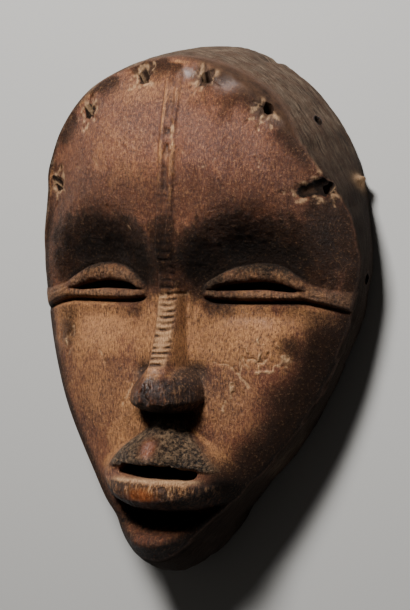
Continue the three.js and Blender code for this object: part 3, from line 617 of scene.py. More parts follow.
# %% [markdown]
# The side was never smoothed. Short adze facets run down it, dry and grey, so its rings are pushed in and
# out by a coarse mottle, and a fine one for the torn grain. A small round takes the edge off the rim.

# %% Side rings
# Each place on the side: x, y, share of the way down, reach along, reach down, how far out (or in).
SIDE_MARKS = [
    (69, 57.5, 0.72, 1.6, 0.12, 3.2), (65.6, -22, 0.85, 2.0, 0.2, -1.6), (24, -92, 0.75, 3.0, 0.3, -1.5),
    (7, -111, 0.8, 2.5, 0.3, -1.4), (-16, -113, 0.5, 2.0, 0.5, -1.3), (25, 112, 0.85, 2.2, 0.15, -1.8),
    (-34, 106, 0.9, 4.0, 0.2, -1.0), (58.5, 70, 0.15, 3.0, 0.1, -1.4), (74.7, -2, 0.05, 4.0, 0.05, -0.8),
]
FACET_DEPTH, RIM_TUCK, RIM_TUCK_SHARE, MEAN_RADIUS = 0.9, 1.1, 0.05, 95
SIDE_LEVELS = np.concatenate([[0.02, 0.05], np.linspace(0.1, 0.92, 12), [0.96, 0.985, 1.0]])


def side_marks(x, y, t):
    """How far the few splinters and chips of the side stand out or in, each a bell along and down."""
    out = np.zeros_like(x)
    for mark_x, mark_y, down, along_side, reach_down, depth in SIDE_MARKS:
        out += depth * bell(np.hypot(x - mark_x, y - mark_y) / along_side) * bell((t - down) / reach_down)
    return out


loop = edge_loop(*front.shape[:2])
edge, out = front.reshape(-1, 3)[loop], np.stack([xd.ravel()[loop], yd.ravel()[loop]], -1)
rim = np.stack(RIM.place(out[:, 0], out[:, 1]), -1)
around = np.arctan2(out[:, 1], out[:, 0]) * MEAN_RADIUS


def side_ring(t):
    """From the border to the rim, bulging outwards by a half sine, roughened by facets."""
    plan = edge[:, :2] + (rim - edge[:, :2]) * t
    height = edge[:, 2] * (1 - t)
    facets = mottle(around, height, 7, 19, 41) - 0.75 + 0.35 * (mottle(around, height, 2.2, 7, 43) - 0.5)
    worn = FACET_DEPTH * facets * between(0, 0.12, 0.97, 1, t)
    bulge = along(SIDE_BULGES, plan[:, 1]) * math.sin(math.pi * t) ** 0.8
    tuck = RIM_TUCK * (1 - math.sqrt(1 - max((t - 1 + RIM_TUCK_SHARE) / RIM_TUCK_SHARE, 0) ** 2))
    step_out = bulge + worn - tuck + side_marks(plan[:, 0], plan[:, 1], t)
    return np.column_stack([plan + out * step_out[:, None], height])


outer_points, outer_faces = closed_body(front, [side_ring(t) for t in SIDE_LEVELS], (0, RIM.centre, 0))
print("outer body", len(outer_points), "points")

# %% [markdown]
# ## The hollow
# The back is scooped out with an adze to an even bowl. It follows the front with its features smoothed
# away, a little deeper behind the nose and mouth, and keeps the facets of the tool.

# %% The hollow body
FRONT_WALL, SCOOP_DEPTH = 14, 0.9
HOLLOW_EXTRA_HEIGHTS = [(-92, 0), (-78, 12), (-60, 6), (-36, 8), (-12, 3), (6, 0)]
HOLLOW_EXTRA_HALF_WIDTH, HOLLOW_BROW_PLACE = 12, 22
shares = np.sin(np.linspace(-np.pi / 2, np.pi / 2, 91))
hollow_xd, hollow_yd = disc_grid(shares, np.sin(np.linspace(-np.pi / 2, np.pi / 2, 121)))
hollow_x, hollow_y = HOLLOW.place(hollow_xd, hollow_yd)
low = along(CHEEK_MIDDLE_HEIGHTS, hollow_y)
foot = along(BROW_FEET, np.full_like(hollow_y, HOLLOW_BROW_PLACE))
roof = low + (forehead(0 * hollow_y, hollow_y) - low) * ease(0, BROW_DEPTH, hollow_y - foot) - FRONT_WALL
roof = roof + along(HOLLOW_EXTRA_HEIGHTS, hollow_y) * bell(hollow_x / HOLLOW_EXTRA_HALF_WIDTH)
share = np.clip(np.hypot(hollow_xd, hollow_yd), 0, 1)
scoops = mottle(hollow_x, hollow_y, 9, 14, 51) + 0.4 * mottle(hollow_x, hollow_y, 4, 6, 53) - 1.2
hollow_z = roof * (1 - share**3) ** 0.55 + SCOOP_DEPTH * scoops * (1 - share**8)
bowl = np.stack([hollow_x, hollow_y, hollow_z], -1)
below = bowl.reshape(-1, 3)[edge_loop(*bowl.shape[:2])] * [1, 1, 0] - [0, 0, RIM_WIDTH]
hollow_points, hollow_faces = closed_body(bowl, [below], (0, RIM.centre, -RIM_WIDTH))
print("hollow", len(hollow_points), "points, deepest", round(float(hollow_z.max()), 1), "mm")

# %% [markdown]
# ## Cutting through
# The eye slits, the mouth and the tie holes go right through the wall. Each cut is a closed prism, and the
# cuts are taken out with Boolean modifiers. The Manifold solver is used because every body here is closed,
# and it keeps it that way.

# %% Prisms for the cuts
CUT_LOW, CUT_HIGH = 8, 90
TIE_HOLE_DEPTH, DRILL_START, HOLE_AIM_SHARE, HOLE_AIM_HEIGHT = 30, 10, 0.68, 20


def prism(outline, low, high):
    """An outline in plan swept from low to high, with both ends closed by fans."""
    n = len(outline)
    k = np.arange(n)
    step = (k + 1) % n
    ends = [np.column_stack([outline, np.full(n, h)]) for h in (high, low)]
    hubs = [np.append(outline.mean(0), h) for h in (high, low)]
    sides = np.stack([k, n + k, n + step, step], -1)
    front_cap = np.stack([k, step, np.full(n, 2 * n)], -1)
    back_cap = np.stack([n + step, n + k, np.full(n, 2 * n + 1)], -1)
    return np.concatenate([*ends, hubs]), [*sides.tolist(), *front_cap.tolist(), *back_cap.tolist()]


def eye_slit(side):
    """The lens between the slit's bottom and top curves."""
    a = SLIT_START + (SLIT_END - SLIT_START) * (0.5 - 0.5 * np.cos(np.linspace(0, np.pi, 33)))
    ragged = 0.25 * (mottle(a, 0 * a, 2.2, 1, 61 + side) - 0.5)
    under = np.column_stack([a, along(SLIT_BOTTOMS, a) + ragged])
    over = np.column_stack([a, along(SLIT_TOPS, a) + ragged])[-2:0:-1]
    outline = np.concatenate([under, over])
    outline[:, 1] += FEATURE_TILT * side * outline[:, 0]
    outline[:, 0] = side * outline[:, 0] + along(FEATURE_MIDDLES, outline[:, 1])
    return outline if side > 0 else outline[::-1]


def mouth_slit():
    """A rounded box: cosine to the power 0.8 across, sine to the power 0.5 up."""
    t = np.linspace(0, 2 * np.pi, 48, endpoint=False)
    across = (MOUTH_RIGHT - MOUTH_LEFT) / 2 * np.sign(np.cos(t)) * np.abs(np.cos(t)) ** 0.8
    up = (MOUTH_TOP - MOUTH_BOTTOM) / 2 * np.sign(np.sin(t)) * np.abs(np.sin(t)) ** 0.5
    up = up + np.where(up > 0, 2.2, 0.8) * (mottle(across + 60, 0 * up, 2.6, 1, 67) - 0.7)
    return np.column_stack([(MOUTH_LEFT + MOUTH_RIGHT) / 2 + across, (MOUTH_TOP + MOUTH_BOTTOM) / 2 + up])


def front_bore(bearing, rho):
    """Where a hole in the front starts: its height is the front's own there."""
    xd, yd = on_disc(bearing)
    x, y = (float(v) for v in FACE.place(rho * xd, rho * yd))
    return x, y, float(front_height(np.array(x), np.array(y), border_height(yd, 1), rho))


def side_bore(bearing, height):
    """Where a hole in the side starts, between border and rim, at a height."""
    xd, yd = on_disc(bearing)
    t = 1 - height / border_height(yd, 1)
    from_border, to_rim = np.array(FACE.place(xd, yd)), np.array(RIM.place(xd, yd))
    x, y = from_border + (to_rim - from_border) * t
    return float(x), float(y), height


def inwards(start):
    """Unit direction from the start of a bore towards the middle of the hollow."""
    aim = np.array([start[0] * HOLE_AIM_SHARE, start[1] * HOLE_AIM_SHARE, HOLE_AIM_HEIGHT]) - start
    return aim / np.linalg.norm(aim)


def drill(start):
    """A slightly ragged round prism along a bore."""
    t = np.linspace(0, 2 * np.pi, 20, endpoint=False)
    r = TIE_HOLE_RADIUS * (0.92 + 0.22 * mottle(np.cos(t) * 4 + start[0], np.sin(t) * 4 + start[1], 2, 2, 71))
    points, faces = prism(np.column_stack([r * np.cos(t), r * np.sin(t)]), -TIE_HOLE_DEPTH, DRILL_START)
    turn = np.array(Vector((0, 0, -1)).rotation_difference(Vector(inwards(start))).to_matrix())
    return points @ turn.T + start, faces


# %% Take the cuts out


def applied(thing):
    """The mesh that an object's modifiers give; they are taken off it."""
    made = bpy.data.meshes.new_from_object(thing.evaluated_get(bpy.context.evaluated_depsgraph_get()))
    thing.modifiers.clear()
    return made


def triangle_count(mesh):
    """How many triangles the faces of a mesh come to."""
    return sum(len(face.vertices) - 2 for face in mesh.polygons)


mask = make_mesh("carved_mask", outer_points, outer_faces)
bores = [front_bore(*place) for place in FRONT_HOLES] + [side_bore(*place) for place in SIDE_HOLES]
cutters = [make_mesh("hollow", hollow_points, hollow_faces)]
cutters += [make_mesh("cut", *prism(o, CUT_LOW, CUT_HIGH)) for o in (eye_slit(-1), eye_slit(1), mouth_slit())]
cutters += [make_mesh("drill", *drill(bore)) for bore in bores]
for cutter in cutters:
    cut = mask.modifiers.new("cut", "BOOLEAN")
    cut.operation, cut.solver, cut.object = "DIFFERENCE", "MANIFOLD", cutter
mask.data = applied(mask)
for cutter in cutters:
    bpy.data.objects.remove(cutter)
print("carved to", triangle_count(mask.data), "triangles")

# %% [markdown]
# The even grid spends as many faces on the smooth cheeks as on the notches. Collapsing the flattest edges
# first brings the count down where nobody can see it.

# %% Thin out the smooth places
MOST_TRIANGLES, SHARP_ANGLE = 188000, math.radians(62)
if triangle_count(mask.data) > MOST_TRIANGLES:
    thin = mask.modifiers.new("thin", "DECIMATE")
    thin.ratio = MOST_TRIANGLES / triangle_count(mask.data)
    mask.data = applied(mask)
mesh = mask.data
mesh.name = "carved_mask"
mesh.shade_smooth()
mesh.set_sharp_from_angle(angle=SHARP_ANGLE)
points = np.empty(len(mesh.vertices) * 3, np.float32)
mesh.vertices.foreach_get("co", points)
points = points.reshape(-1, 3).astype(float) * 1000
print("thinned to", triangle_count(mesh), "triangles,", len(points), "points")

# %% [markdown]
# ## Where the surface is worn, crusted or bare
# The finish changes from place to place, so each kind of skin is a number from 0 to 1 at every point, and
# the material reads the numbers back by name. A point is on the front if it lies near the front's own height
# there; the walls of the slits and bores count as front too. Skins are painted with soft spots, each a bell
# across and along, whose edges are broken up by a mottle.

# %% Front, hollow and cuts
# Over these heights off the front, shares outwards and depths in a slit, one skin gives way to the next.
FRONT_HEIGHTS, FRONT_EDGES, SLIT_DEPTHS = (-2.2, -1.0), (0.985, 1.0), (0.5, 1.4)
FAR_AWAY = 99
px, py, pz = points.T
from_middle = px - along(FEATURE_MIDDLES, py)
beside, level = np.abs(from_middle), py - FEATURE_TILT * from_middle
face_rho = FACE.rho(px, py)
crooked_rho = face_rho + 0.016 * (mottle(px, py + pz, 4, 4, 80) - 0.5)
border = border_height((py - FACE.centre) / FACE.half, face_rho)
carved_front = front_height(px, py, border, np.clip(face_rho, 0, 1))
in_hollow = fade(0.98, 1.0, HOLLOW.rho(px, py)) * fade(-6, -4, pz - big_forms(from_middle, level))


def from_axis(start):
    """Distance of every point from the axis of a bore, where the bore is."""
    away, axis = points - start, inwards(start)
    reach = away @ axis
    beyond = np.abs(reach) > TIE_HOLE_DEPTH
    return np.linalg.norm(away - np.outer(reach, axis), axis=1) + FAR_AWAY * beyond


nearest_axis = np.min([from_axis(bore) for bore in bores], 0)
in_bore = fade(TIE_HOLE_RADIUS + 0.1, TIE_HOLE_RADIUS + 0.6, nearest_axis)
in_slit = ease(*SLIT_DEPTHS, carved_front - pz) * fade(0.85, 0.93, face_rho)
in_cut = np.maximum(in_bore, in_slit) * (1 - in_hollow)
on_front = ease(*FRONT_HEIGHTS, pz - carved_front) * fade(*FRONT_EDGES, crooked_rho)
on_front = np.maximum(on_front, in_cut)

# %% Helpers for skins


def spots(*patches, break_up=0.5, seed=81):
    """The strongest of several soft spots (x, y, reach across, reach along, strength), edges broken up."""
    ragged = 1 + break_up * (mottle(px, py, 5.1, 7.3, seed) + mottle(px, py, 1.6, 2.3, seed + 1) - 1)
    total = np.zeros_like(px)
    for x, y, across, along_y, strength in patches:
        reach = np.hypot((px - x) / across, (py - y) / along_y) * ragged
        total = np.maximum(total, strength * bell(reach**1.3))
    return total


def patchy(low, high, cell_x, cell_y, seed):
    """Where a mottle is high: 0 below low, 1 above high."""
    return ease(low, high, mottle(px, py, cell_x, cell_y, seed))


def highest(*values):
    """The highest of several values at every point."""
    return np.maximum.reduce(values)


# %% [markdown]
# Age has darkened the mask from the brows into the sockets and down its right edge, a broad soft change. Part
# of it is painted shade, where the brows turn under into the sockets and the right side turns away from the
# light. The rolled border from the temples down and the chin's underside get painted shade, and a painted
# shadow lies under the nose. The cheeks, the lids and the crest of the nose are rubbed back to tan.

# %% Dark places and painted shade, and worn places
upper, lower, temple, outer = lid_bars(beside, level)
lid_tops = np.maximum((1 - outer) * np.maximum(upper, lower), outer * temple) * ease(13, 17, beside)
tip_up = (py - NOSE_TIP_Y) / np.where(py > NOSE_TIP_Y, NOSE_TIP_ABOVE, NOSE_TIP_BELOW)
on_ball = fade(0.9, 1.15, np.hypot(from_middle / NOSE_TIP_HALF_WIDTH, tip_up))
on_ball = on_ball * fade(-33, -29, py + 0.3 * np.maximum(beside - 4, 0))
right_edge = ease(0.6, 0.92, face_rho + 0.1 * (mottle(px, py, 9, 12, 84) - 0.5)) * ease(6, 30, px)
# Age darkening, painted shade and painted shadow, all in one skin.
dark = highest(
    spots(
        # Spots over the brows and into the sockets: partly dark patina, partly painted shade under the brows.
        (-40, 27, 38, 14, 1.1), (42, 28, 38, 15, 1.1), (-16, 19, 15, 18, 1.1), (17, 19, 16, 20, 1.1),
        (-60, 17, 14, 13, 1.0), (62, 18, 14, 14, 1.0), (0, 24, 10, 18, 1.0), (0, 46, 76, 16, 0.5),
        # The third spot on the next line, at (0, -48), is the painted shadow under the nose.
        (68, 32, 14, 28, 1.0), (58, 64, 14, 16, 0.45), (0, -48, 15, 5, 1.0), (-62, -40, 6, 16, 0.7),
        (55, -17, 8, 7, 0.8), (20, 0, 9, 7, 0.45), (1, -60, 17, 9, 0.7), (34, 92, 20, 8, 0.7),
        (54, 80, 10, 12, 0.7), (-20, 104, 8, 3, 0.8), (20, 99, 16, 5, 0.9), (48, 84, 9, 8, 0.7),
        (-58, -12, 6, 9, 0.7), (2, -85, 26, 4, 0.7),
        seed=83,
    ),
    0.55 * on_ball,
    # Down the right edge: partly dark patina, partly painted shade.
    right_edge * fade(-14, 12, py),
    # Round the rolled border, from the temples down: painted shade.
    0.9 * ease(0.87, 0.97, crooked_rho) * fade(30, 60, py),
    0.75 * ease(0.88, 0.96, face_rho) * patchy(0.4, 0.6, 8, 6, 86) * ease(40, 70, py),
    # Under the chin: painted shade, kept lighter on the ledge as if it were lit.
    0.7 * fade(-101, -95, py) * (1 - 0.6 * bell((py + 104) / 5)),
) * (1 - 0.7 * lid_tops)
muzzle_share = beside / along(MUZZLE_HALF_WIDTHS, py)
band_ridge = bell((beside - 2.7) / 0.9) * between(36, 50, 98, 103, py)
border_wear = bell((face_rho - 0.985) / 0.014) * patchy(0.4, 0.7, 4, 4, 87)
worn = highest(
    spots(
        (-46, -10, 30, 18, 0.95), (-36, -40, 22, 22, 0.6), (30, -12, 28, 16, 1.0), (26, -40, 22, 20, 0.55),
        (-11, -12, 9, 20, 0.9), (12, -14, 9, 20, 0.95), (-18, -46, 12, 18, 0.8), (-4, 3, 12, 3, 0.9),
        (0, -12, 5, 20, 1.3), (58, -4, 16, 7, 0.8), (-24, -60, 9, 14, 0.8), (24, -64, 7, 10, 0.6),
        (-24, 66, 34, 26, 0.35), (24, 66, 30, 22, 0.22), (0, -79, 30, 4.5, 0.75), (-10, 92, 30, 12, 0.4),
    ),
    1.3 * bell((muzzle_share - 1.06) / 0.09) * between(-76, -70, -55, -50, py),
    0.95 * band_ridge * patchy(0.2, 0.6, 2, 6, 88),
    0.9 * border_wear * (1 - ease(-5, 15, px) * fade(60, 70, py)),
    0.5 * lid_tops,
)

# %% [markdown]
# Crust has built up in the eye hollows, beside the lids, in the chin's recess and in every deep mark. The
# same near-black also paints shadow and shade: a band just above the lids, the shadow under the nose, shade
# down the right flank, and part of the dark in the chin's recess and the broken notch. Only the crust has an
# edge to speak of.

# %% Crust and painted shadow, polish and redness
depth_of_marks = marks(px, py)
lid_bed = between(12, 16, 56, 62, beside) * bell((py - 8) / 9) * (1 - np.maximum(upper, lower) ** 0.5)
painted_lid_shadow = bell((level - along(LID_TOPS, beside) - 1.6) / 1.9) * between(12, 15, 52, 64, beside)
# Crust, with painted shadow and painted shade in the same skin.
crust_and_shade = highest(
    spots(
        (-38, 22, 26, 9, 0.85), (38, 23, 28, 10, 0.9), (-15, 18, 9, 13, 0.8), (16, 18, 10, 14, 0.85),
        # On the next line (1, -93) is in the chin's recess, partly crust and partly painted shadow; (0, -48)
        # is painted shadow under the nose.
        (1, -93, 27, 6, 1.1), (0, -48, 13, 4.5, 1.0), (62, 30, 10, 12, 0.5), (0, 24, 6, 15, 0.55),
        break_up=0.45, seed=85,
    ),
    0.9 * lid_bed,
    # Down the right flank: painted shade, partly dark patina.
    0.5 * ease(0.7, 0.92, face_rho) * ease(8, 30, px) * fade(-12, 12, py),
    # Just above the lids: a painted shadow band.
    1.15 * painted_lid_shadow,
    # Deep marks: crust, and in the broken notch partly painted shade.
    1.3 * ease(1.5, 2.1, depth_of_marks),
    1.5 * in_cut,
)
polish = spots(
    (6, 100, 7, 4, 1.0), (24, 96, 10, 6, 1.0), (44, 84, 12, 8, 0.8), (-2, -34, 11, 8, 1.0),
    (-3, -82, 9, 5, 1.0), (-63, -17, 5, 9, 0.9), (0, 66, 70, 40, 0.4), (GLOSS_X, GLOSS_Y, 4, 4.5, 1.0),
    (30, -3, 18, 5, 0.6), (66, 34, 10, 20, 0.6), (-4, -104, 12, 4, 0.35),
    seed=89,
)
ruddy = spots(
    (-63, -18, 5, 12, 1.0), (-2, -37, 14, 8, 1.1), (-4, -83, 9, 5, 1.2), (10, 60, 66, 30, 0.4),
    (66, 40, 8, 10, 0.8), (GLOSS_X, GLOSS_Y, 4, 4, 1.0), (50, -28, 14, 14, 1.0), (40, -52, 9, 14, 0.8),
    (-2, -108, 26, 9, 1.1),
    break_up=0.3, seed=93,
)

# %% [markdown]
# The same formulas that cut the notches also say where dirt has settled, so each cut is dark at its bottom.
# Edges of marks and flakes and the splinter are pale, because the wood there is new or rubbed bare. The same
# pale wood paints a highlight along the top edge of the lower lip.

# %% Dirt in the cuts, fresh wood and a painted highlight
pits = 1.3 * rows_of_notches(from_middle, level) + 0.8 * streaks(from_middle, level)
pits = np.clip(pits + 0.8 * np.maximum(-crumbs(from_middle, level), 0), 0, 1)
flake_edge = bell((flake_field(from_middle, level) - 0.64) / 0.04) * patchy(0.45, 0.75, 3.1, 3.4, 98)
crest_top = fade(3, 5, beside) * between(-28, -25, 0, 5, py) * (1 - 1.4 * pits)
splinter = bell(np.hypot(px - 71, py - 57.5) / 3.2) * bell((pz - 10) / 6) * (px > 66)
fresh_and_highlight = highest(
    0.8 * between(0.15, 0.6, 1.1, 1.7, depth_of_marks) * patchy(0.3, 0.7, 1.3, 1.5, 97),
    # Along the lower lip's top edge: a painted highlight.
    0.8 * bell((level + 75.9) / 0.9) * fade(17, 23, beside) * patchy(0, 0.4, 3, 3, 99),
    0.55 * np.clip(crest_top, 0, 1),
    0.95 * flake_edge,
)
fresh_and_highlight = np.maximum(fresh_and_highlight * on_front, 1.4 * splinter)

# %% [markdown]
# The nose ball, the lower lip and the chin are ridged upright, and the upper lip is a crumbly crust. Each lip
# has one smooth amber spot. The bare wood gets painted shade on the right side and under the chin.

# %% Ridges, crumbs, amber and painted shade on the sides
lip_face = between(-90, -87, -77.5, -76, py) * fade(24, 29, beside)
ball_face = on_ball * ease(-9, -1, px - 0.6 * (py + 34))
amber_spot = np.clip(1.5 * bell(np.hypot((px + 3) / 7, (py + 83) / 4)), 0, 1)
gloss_spot = np.clip(1.6 * bell(np.hypot(px - GLOSS_X, py - GLOSS_Y) / 4.2), 0, 1)
ridged = highest(
    0.9 * ball_face, lip_face * (1 - 0.85 * amber_spot), 0.6 * between(-114, -110, -101, -98, py),
)
lip_crust = fade(0.8, 0.98, muzzle_share) * between(-72, -70, -52, -47, py)
crumbly = np.maximum(lip_crust * (1 - gloss_spot), 0.35 * lid_tops)
# Painted shade on the bare wood of the right side, the lower right and under the chin.
painted_shade = highest(
    ease(25, 60, px) * (1 - 0.7 * ease(45, 90, py)),
    ease(-12, 6, px) * fade(-80, -60, py),
    fade(-102, -88, py),
)

# %% Write the skins to the mesh
skins = {
    "worn": worn * on_front,
    "dark": np.clip(dark, 0, 1) * on_front,
    "crust_and_shade": np.clip(crust_and_shade, 0, 1) * on_front,
    "polish": np.clip(polish, 0, 1) * on_front,
    "ruddy": np.clip(ruddy, 0, 1) * on_front,
    "pits": pits * on_front,
    "fresh_and_highlight": np.clip(fresh_and_highlight, 0, 1),
    "ridged": ridged * on_front * (1 - in_cut),
    "crumbly": crumbly * on_front * (1 - in_cut),
    "bare": np.clip(1 - on_front - in_hollow, 0, 1),
    "inside": in_hollow,
    "amber": np.maximum(amber_spot, 0.5 * gloss_spot) * on_front,
    "painted_shade": painted_shade,
}
for name, values in skins.items():
    layer = mesh.attributes.new(name, "FLOAT", "POINT")
    layer.data.foreach_set("value", values.astype(np.float32))
    print(name, "covers", round(float((values > 0.5).mean()) * 100), "% of the points")

# %% [markdown]
# The origin of the part is under the middle of its outline, so the finished mesh is moved there once.

# %% Move the mask to its origin
middle = (points[:, :2].min(0) + points[:, :2].max(0)) / 2
placed = (points - [middle[0], middle[1], points[:, 2].min()]) / 1000
mesh.vertices.foreach_set("co", placed.astype(np.float32).ravel())
mesh.update()
print("moved by", (-middle).round(2), "mm")

# %% [markdown]
# ## Aged wood
# Under everything runs the grain, a noise stretched along the mask. Red-brown stain lies over it, rubbed
# through to tan where hands and cloth have touched, and buried under black crust in the eye hollows. The age
# darkening and the crust also carry painted shade and painted shadow, and the bare side carries painted
# shade.
# Crust is a speckle rather than a coat, so a fine noise decides which grains of it show. Ridges have dark
# troughs and pale tops, crumbs stand pale on the dark lip, and pale flecks, partly dust and partly painted
# glints, lie thinner where crust is thick. Fresh wood also paints a highlight on the lower lip's top edge.
# Roughness follows the same layers: rubbed wood shines, crust and bare wood don't.

# %% Node helpers


def colour(red, green, blue):
    """A colour as seen on screen, 0 to 255, in the linear values that shaders use."""
    return tuple(((c / 255 + 0.055) / 1.055) ** 2.4 for c in (red, green, blue)) + (1,)


class Nodes:
    """Short calls to add nodes to one material."""

    def __init__(self, name):
        self.material = bpy.data.materials.new(name)
        self.material.use_nodes = True
        self.tree = self.material.node_tree
        self.shader = self.tree.nodes["Principled BSDF"]

    def add(self, kind, inputs=(), **settings):
        """A node with these settings, and these values or sockets at its inputs."""
        node = self.tree.nodes.new(kind)
        for key, value in settings.items():
            setattr(node, key, value)
        for key, value in dict(inputs).items():
            self.link(value, node.inputs[key])
        return node

    def link(self, value, socket):
        """Wire a socket to another, or set it to a plain value."""
        if isinstance(value, bpy.types.NodeSocket):
            self.tree.links.new(value, socket)
        else:
            socket.default_value = value

    def noise(self, stretch, detail, roughness, offset=(0, 0, 0)):
        """Noise on object coordinates, with so many cells to a metre along x, y and z."""
        place = self.add("ShaderNodeTexCoord").outputs["Object"]
        scaled = self.add("ShaderNodeMapping", {"Vector": place, "Scale": stretch, "Location": offset})
        inputs = {"Vector": scaled.outputs[0], "Scale": 1, "Detail": detail, "Roughness": roughness}
        return self.add("ShaderNodeTexNoise", inputs).outputs["Fac"]

    def skin(self, name):
        """One of the mesh's skins."""
        return self.add("ShaderNodeAttribute", attribute_name=name).outputs["Fac"]

    def math(self, operation, a, b, clamp=False):
        """One step of arithmetic."""
        return self.add("ShaderNodeMath", {0: a, 1: b}, operation=operation, use_clamp=clamp).outputs[0]

    def times(self, a, b):
        """The product of two values."""
        return self.math("MULTIPLY", a, b)

    def plus(self, a, b):
        """The sum of two values."""
        return self.math("ADD", a, b)

    def minus(self, a, b):
        """The first value less the second."""
        return self.math("SUBTRACT", a, b)

    def highest(self, a, *others):
        """The highest of several values."""
        for b in others:
            a = self.math("MAXIMUM", a, b)
        return a

    def ramp(self, value, low, high):
        """0 at low, 1 at high, straight between, and level outside."""
        inputs = {"Value": value, "From Min": low, "From Max": high}
        return self.add("ShaderNodeMapRange", inputs, clamp=True).outputs["Result"]

    def mix(self, share, under, over):
        """One colour over another by a share; a plain colour is three numbers up to 255."""
        node = self.add("ShaderNodeMix", data_type="RGBA")
        sockets = {socket.identifier: socket for socket in (*node.inputs, *node.outputs)}
        self.link(share, sockets["Factor_Float"])
        for value, place in ((under, "A_Color"), (over, "B_Color")):
            self.link(colour(*value) if isinstance(value, tuple) else value, sockets[place])
        return sockets["Result_Color"]

    def cover(self, under, value, low, high, over, part=1.0):
        """One colour over another where a value ramps from low to high, by part of that."""
        return self.mix(self.times(self.ramp(value, low, high), part), under, over)

    def rough_edge(self, value, *noises):
        """A value with noises, each by its own amount, added about their middle."""
        for noise, amount in noises:
            value = self.plus(value, self.times(self.minus(noise, 0.5), amount))
        return value


# %% The material
BUMP_STRENGTH, BUMP_DISTANCE = 0.8, 0.0008


def aged_wood():
    """Stain, wear, age, crust, painted shade and shadow, ridges, dirt, dust, painted glints, bare wood,
    hollow, fresh wood and a painted highlight, one over another.
    """
    n = Nodes("aged_wood")
    grain = n.noise((1700, 430, 1700), 4, 0.7)
    speck = n.noise((1500, 1200, 1500), 4, 0.75, (7, 0, 2))
    rake = n.noise((120, 100, 640), 4, 0.7, (5, 1, 6))
    ridge = n.noise((640, 150, 640), 4, 0.7, (6, 4, 1))
    crumb = n.noise((560, 620, 560), 4, 0.75, (4, 8, 3))
    fleck = n.noise((900, 760, 900), 5, 0.8, (1, 9, 4))
    patch = n.noise((190, 130, 190), 5, 0.65, (2, 2, 8))
    blotch = n.noise((62, 42, 62), 5, 0.65, (3, 5, 0))
    worn, dark, crust_and_shade, polish, ruddy = map(n.skin, ("worn", "dark", "crust_and_shade", "polish", "ruddy"))
    pits, fresh_and_highlight, ridged, crumbly = map(n.skin, ("pits", "fresh_and_highlight", "ridged", "crumbly"))
    amber, bare, inside, painted_shade = map(n.skin, ("amber", "bare", "inside", "painted_shade"))

    skin = n.cover((80, 44, 29), blotch, 0.35, 0.65, (120, 70, 43))
    skin = n.mix(n.times(ruddy, 0.65), skin, (112, 54, 32))
    skin = n.cover(skin, grain, 0.5, 0.66, (160, 108, 72), 0.65)
    tan = n.cover((108, 62, 36), grain, 0.32, 0.66, (196, 139, 86))
    tan = n.cover(tan, patch, 0.4, 0.64, (128, 84, 55), 0.5)
    skin = n.cover(skin, n.rough_edge(worn, (blotch, 0.9), (patch, 0.7), (grain, 0.5)), 0.25, 0.75, tan)
    skin = n.cover(skin, grain, 0.47, 0.34, (60, 37, 26), 0.55)
    # Age darkening, which also serves as painted shade under the brows and down the right side.
    age_and_shade = n.cover((27, 16, 10), speck, 0.4, 0.62, (64, 38, 22))
    skin = n.cover(skin, n.rough_edge(dark, (patch, 0.5), (speck, 1.5)), 0.15, 0.85, age_and_shade)
    # Crust, and the painted shadow and shade that share its skin.
    skin = n.cover(skin, n.rough_edge(crust_and_shade, (patch, 0.6), (speck, 0.9)), 0.35, 0.7, (27, 17, 10))
    skin = n.cover(skin, speck, 0.5, 0.3, (48, 30, 22), 0.45)
    skin = n.mix(n.times(amber, 0.8), skin, n.cover((104, 52, 30), grain, 0.35, 0.65, (152, 84, 44)))
    skin = n.mix(crumbly, skin, n.cover((24, 18, 14), crumb, 0.42, 0.6, (134, 108, 82)))
    ridge_top = n.cover((122, 72, 46), worn, 0.2, 0.7, (206, 164, 118))
    skin = n.cover(skin, ridge, 0.56, 0.47, (36, 20, 13), n.times(ridged, 0.9))
    skin = n.cover(skin, ridge, 0.55, 0.64, ridge_top, n.times(ridged, 0.85))
    skin = n.mix(n.times(pits, 0.85), skin, (26, 16, 13))
    # Pale flecks, partly dust and partly painted glints on the rough surface, fewer where crust is thick.
    dust_and_glints = n.minus(0.6, n.times(n.times(crust_and_shade, crust_and_shade), 0.45))
    skin = n.cover(skin, fleck, 0.56, 0.64, n.mix(dark, (170, 124, 86), (124, 92, 62)), dust_and_glints)
    skin = n.cover(skin, fleck, 0.46, 0.4, (34, 21, 15), 0.5)
    dry = n.cover((56, 44, 36), rake, 0.36, 0.64, (126, 107, 89))
    dry = n.cover(dry, patch, 0.42, 0.6, (80, 56, 42), 0.7)
    dry = n.cover(dry, speck, 0.55, 0.7, (150, 130, 108), 0.6)
    dry = n.cover(dry, blotch, 0.5, 0.62, (58, 45, 36), 0.5)
    # The bare wood, darkened where the painted shade skin lies.
    skin = n.mix(bare, skin, n.mix(n.times(painted_shade, 0.85), dry, (34, 25, 20)))
    skin = n.mix(inside, skin, n.cover((50, 35, 27), patch, 0.3, 0.7, (92, 66, 48)))
    # Fresh wood, and the painted highlight on the lower lip's top edge.
    skin = n.mix(fresh_and_highlight, skin, n.cover((138, 100, 70), grain, 0.3, 0.7, (206, 170, 130)))
    n.link(skin, n.shader.inputs["Base Color"])

    matt = n.minus(1.0, n.times(polish, 0.8))
    dull = n.highest(bare, inside, fresh_and_highlight)
    rough = n.plus(n.times(matt, 0.46), 0.12)
    rough = n.plus(rough, n.times(matt, n.times(n.minus(speck, 0.5), 0.5)))
    rough = n.plus(rough, n.times(n.highest(crust_and_shade, pits), 0.12))
    n.link(n.math("ADD", rough, n.times(dull, 0.25), clamp=True), n.shader.inputs["Roughness"])
    shine = n.minus(0.42, n.times(n.highest(crust_and_shade, dull, dark), 0.3))
    n.link(n.plus(shine, n.times(polish, 0.2)), n.shader.inputs["Specular IOR Level"])

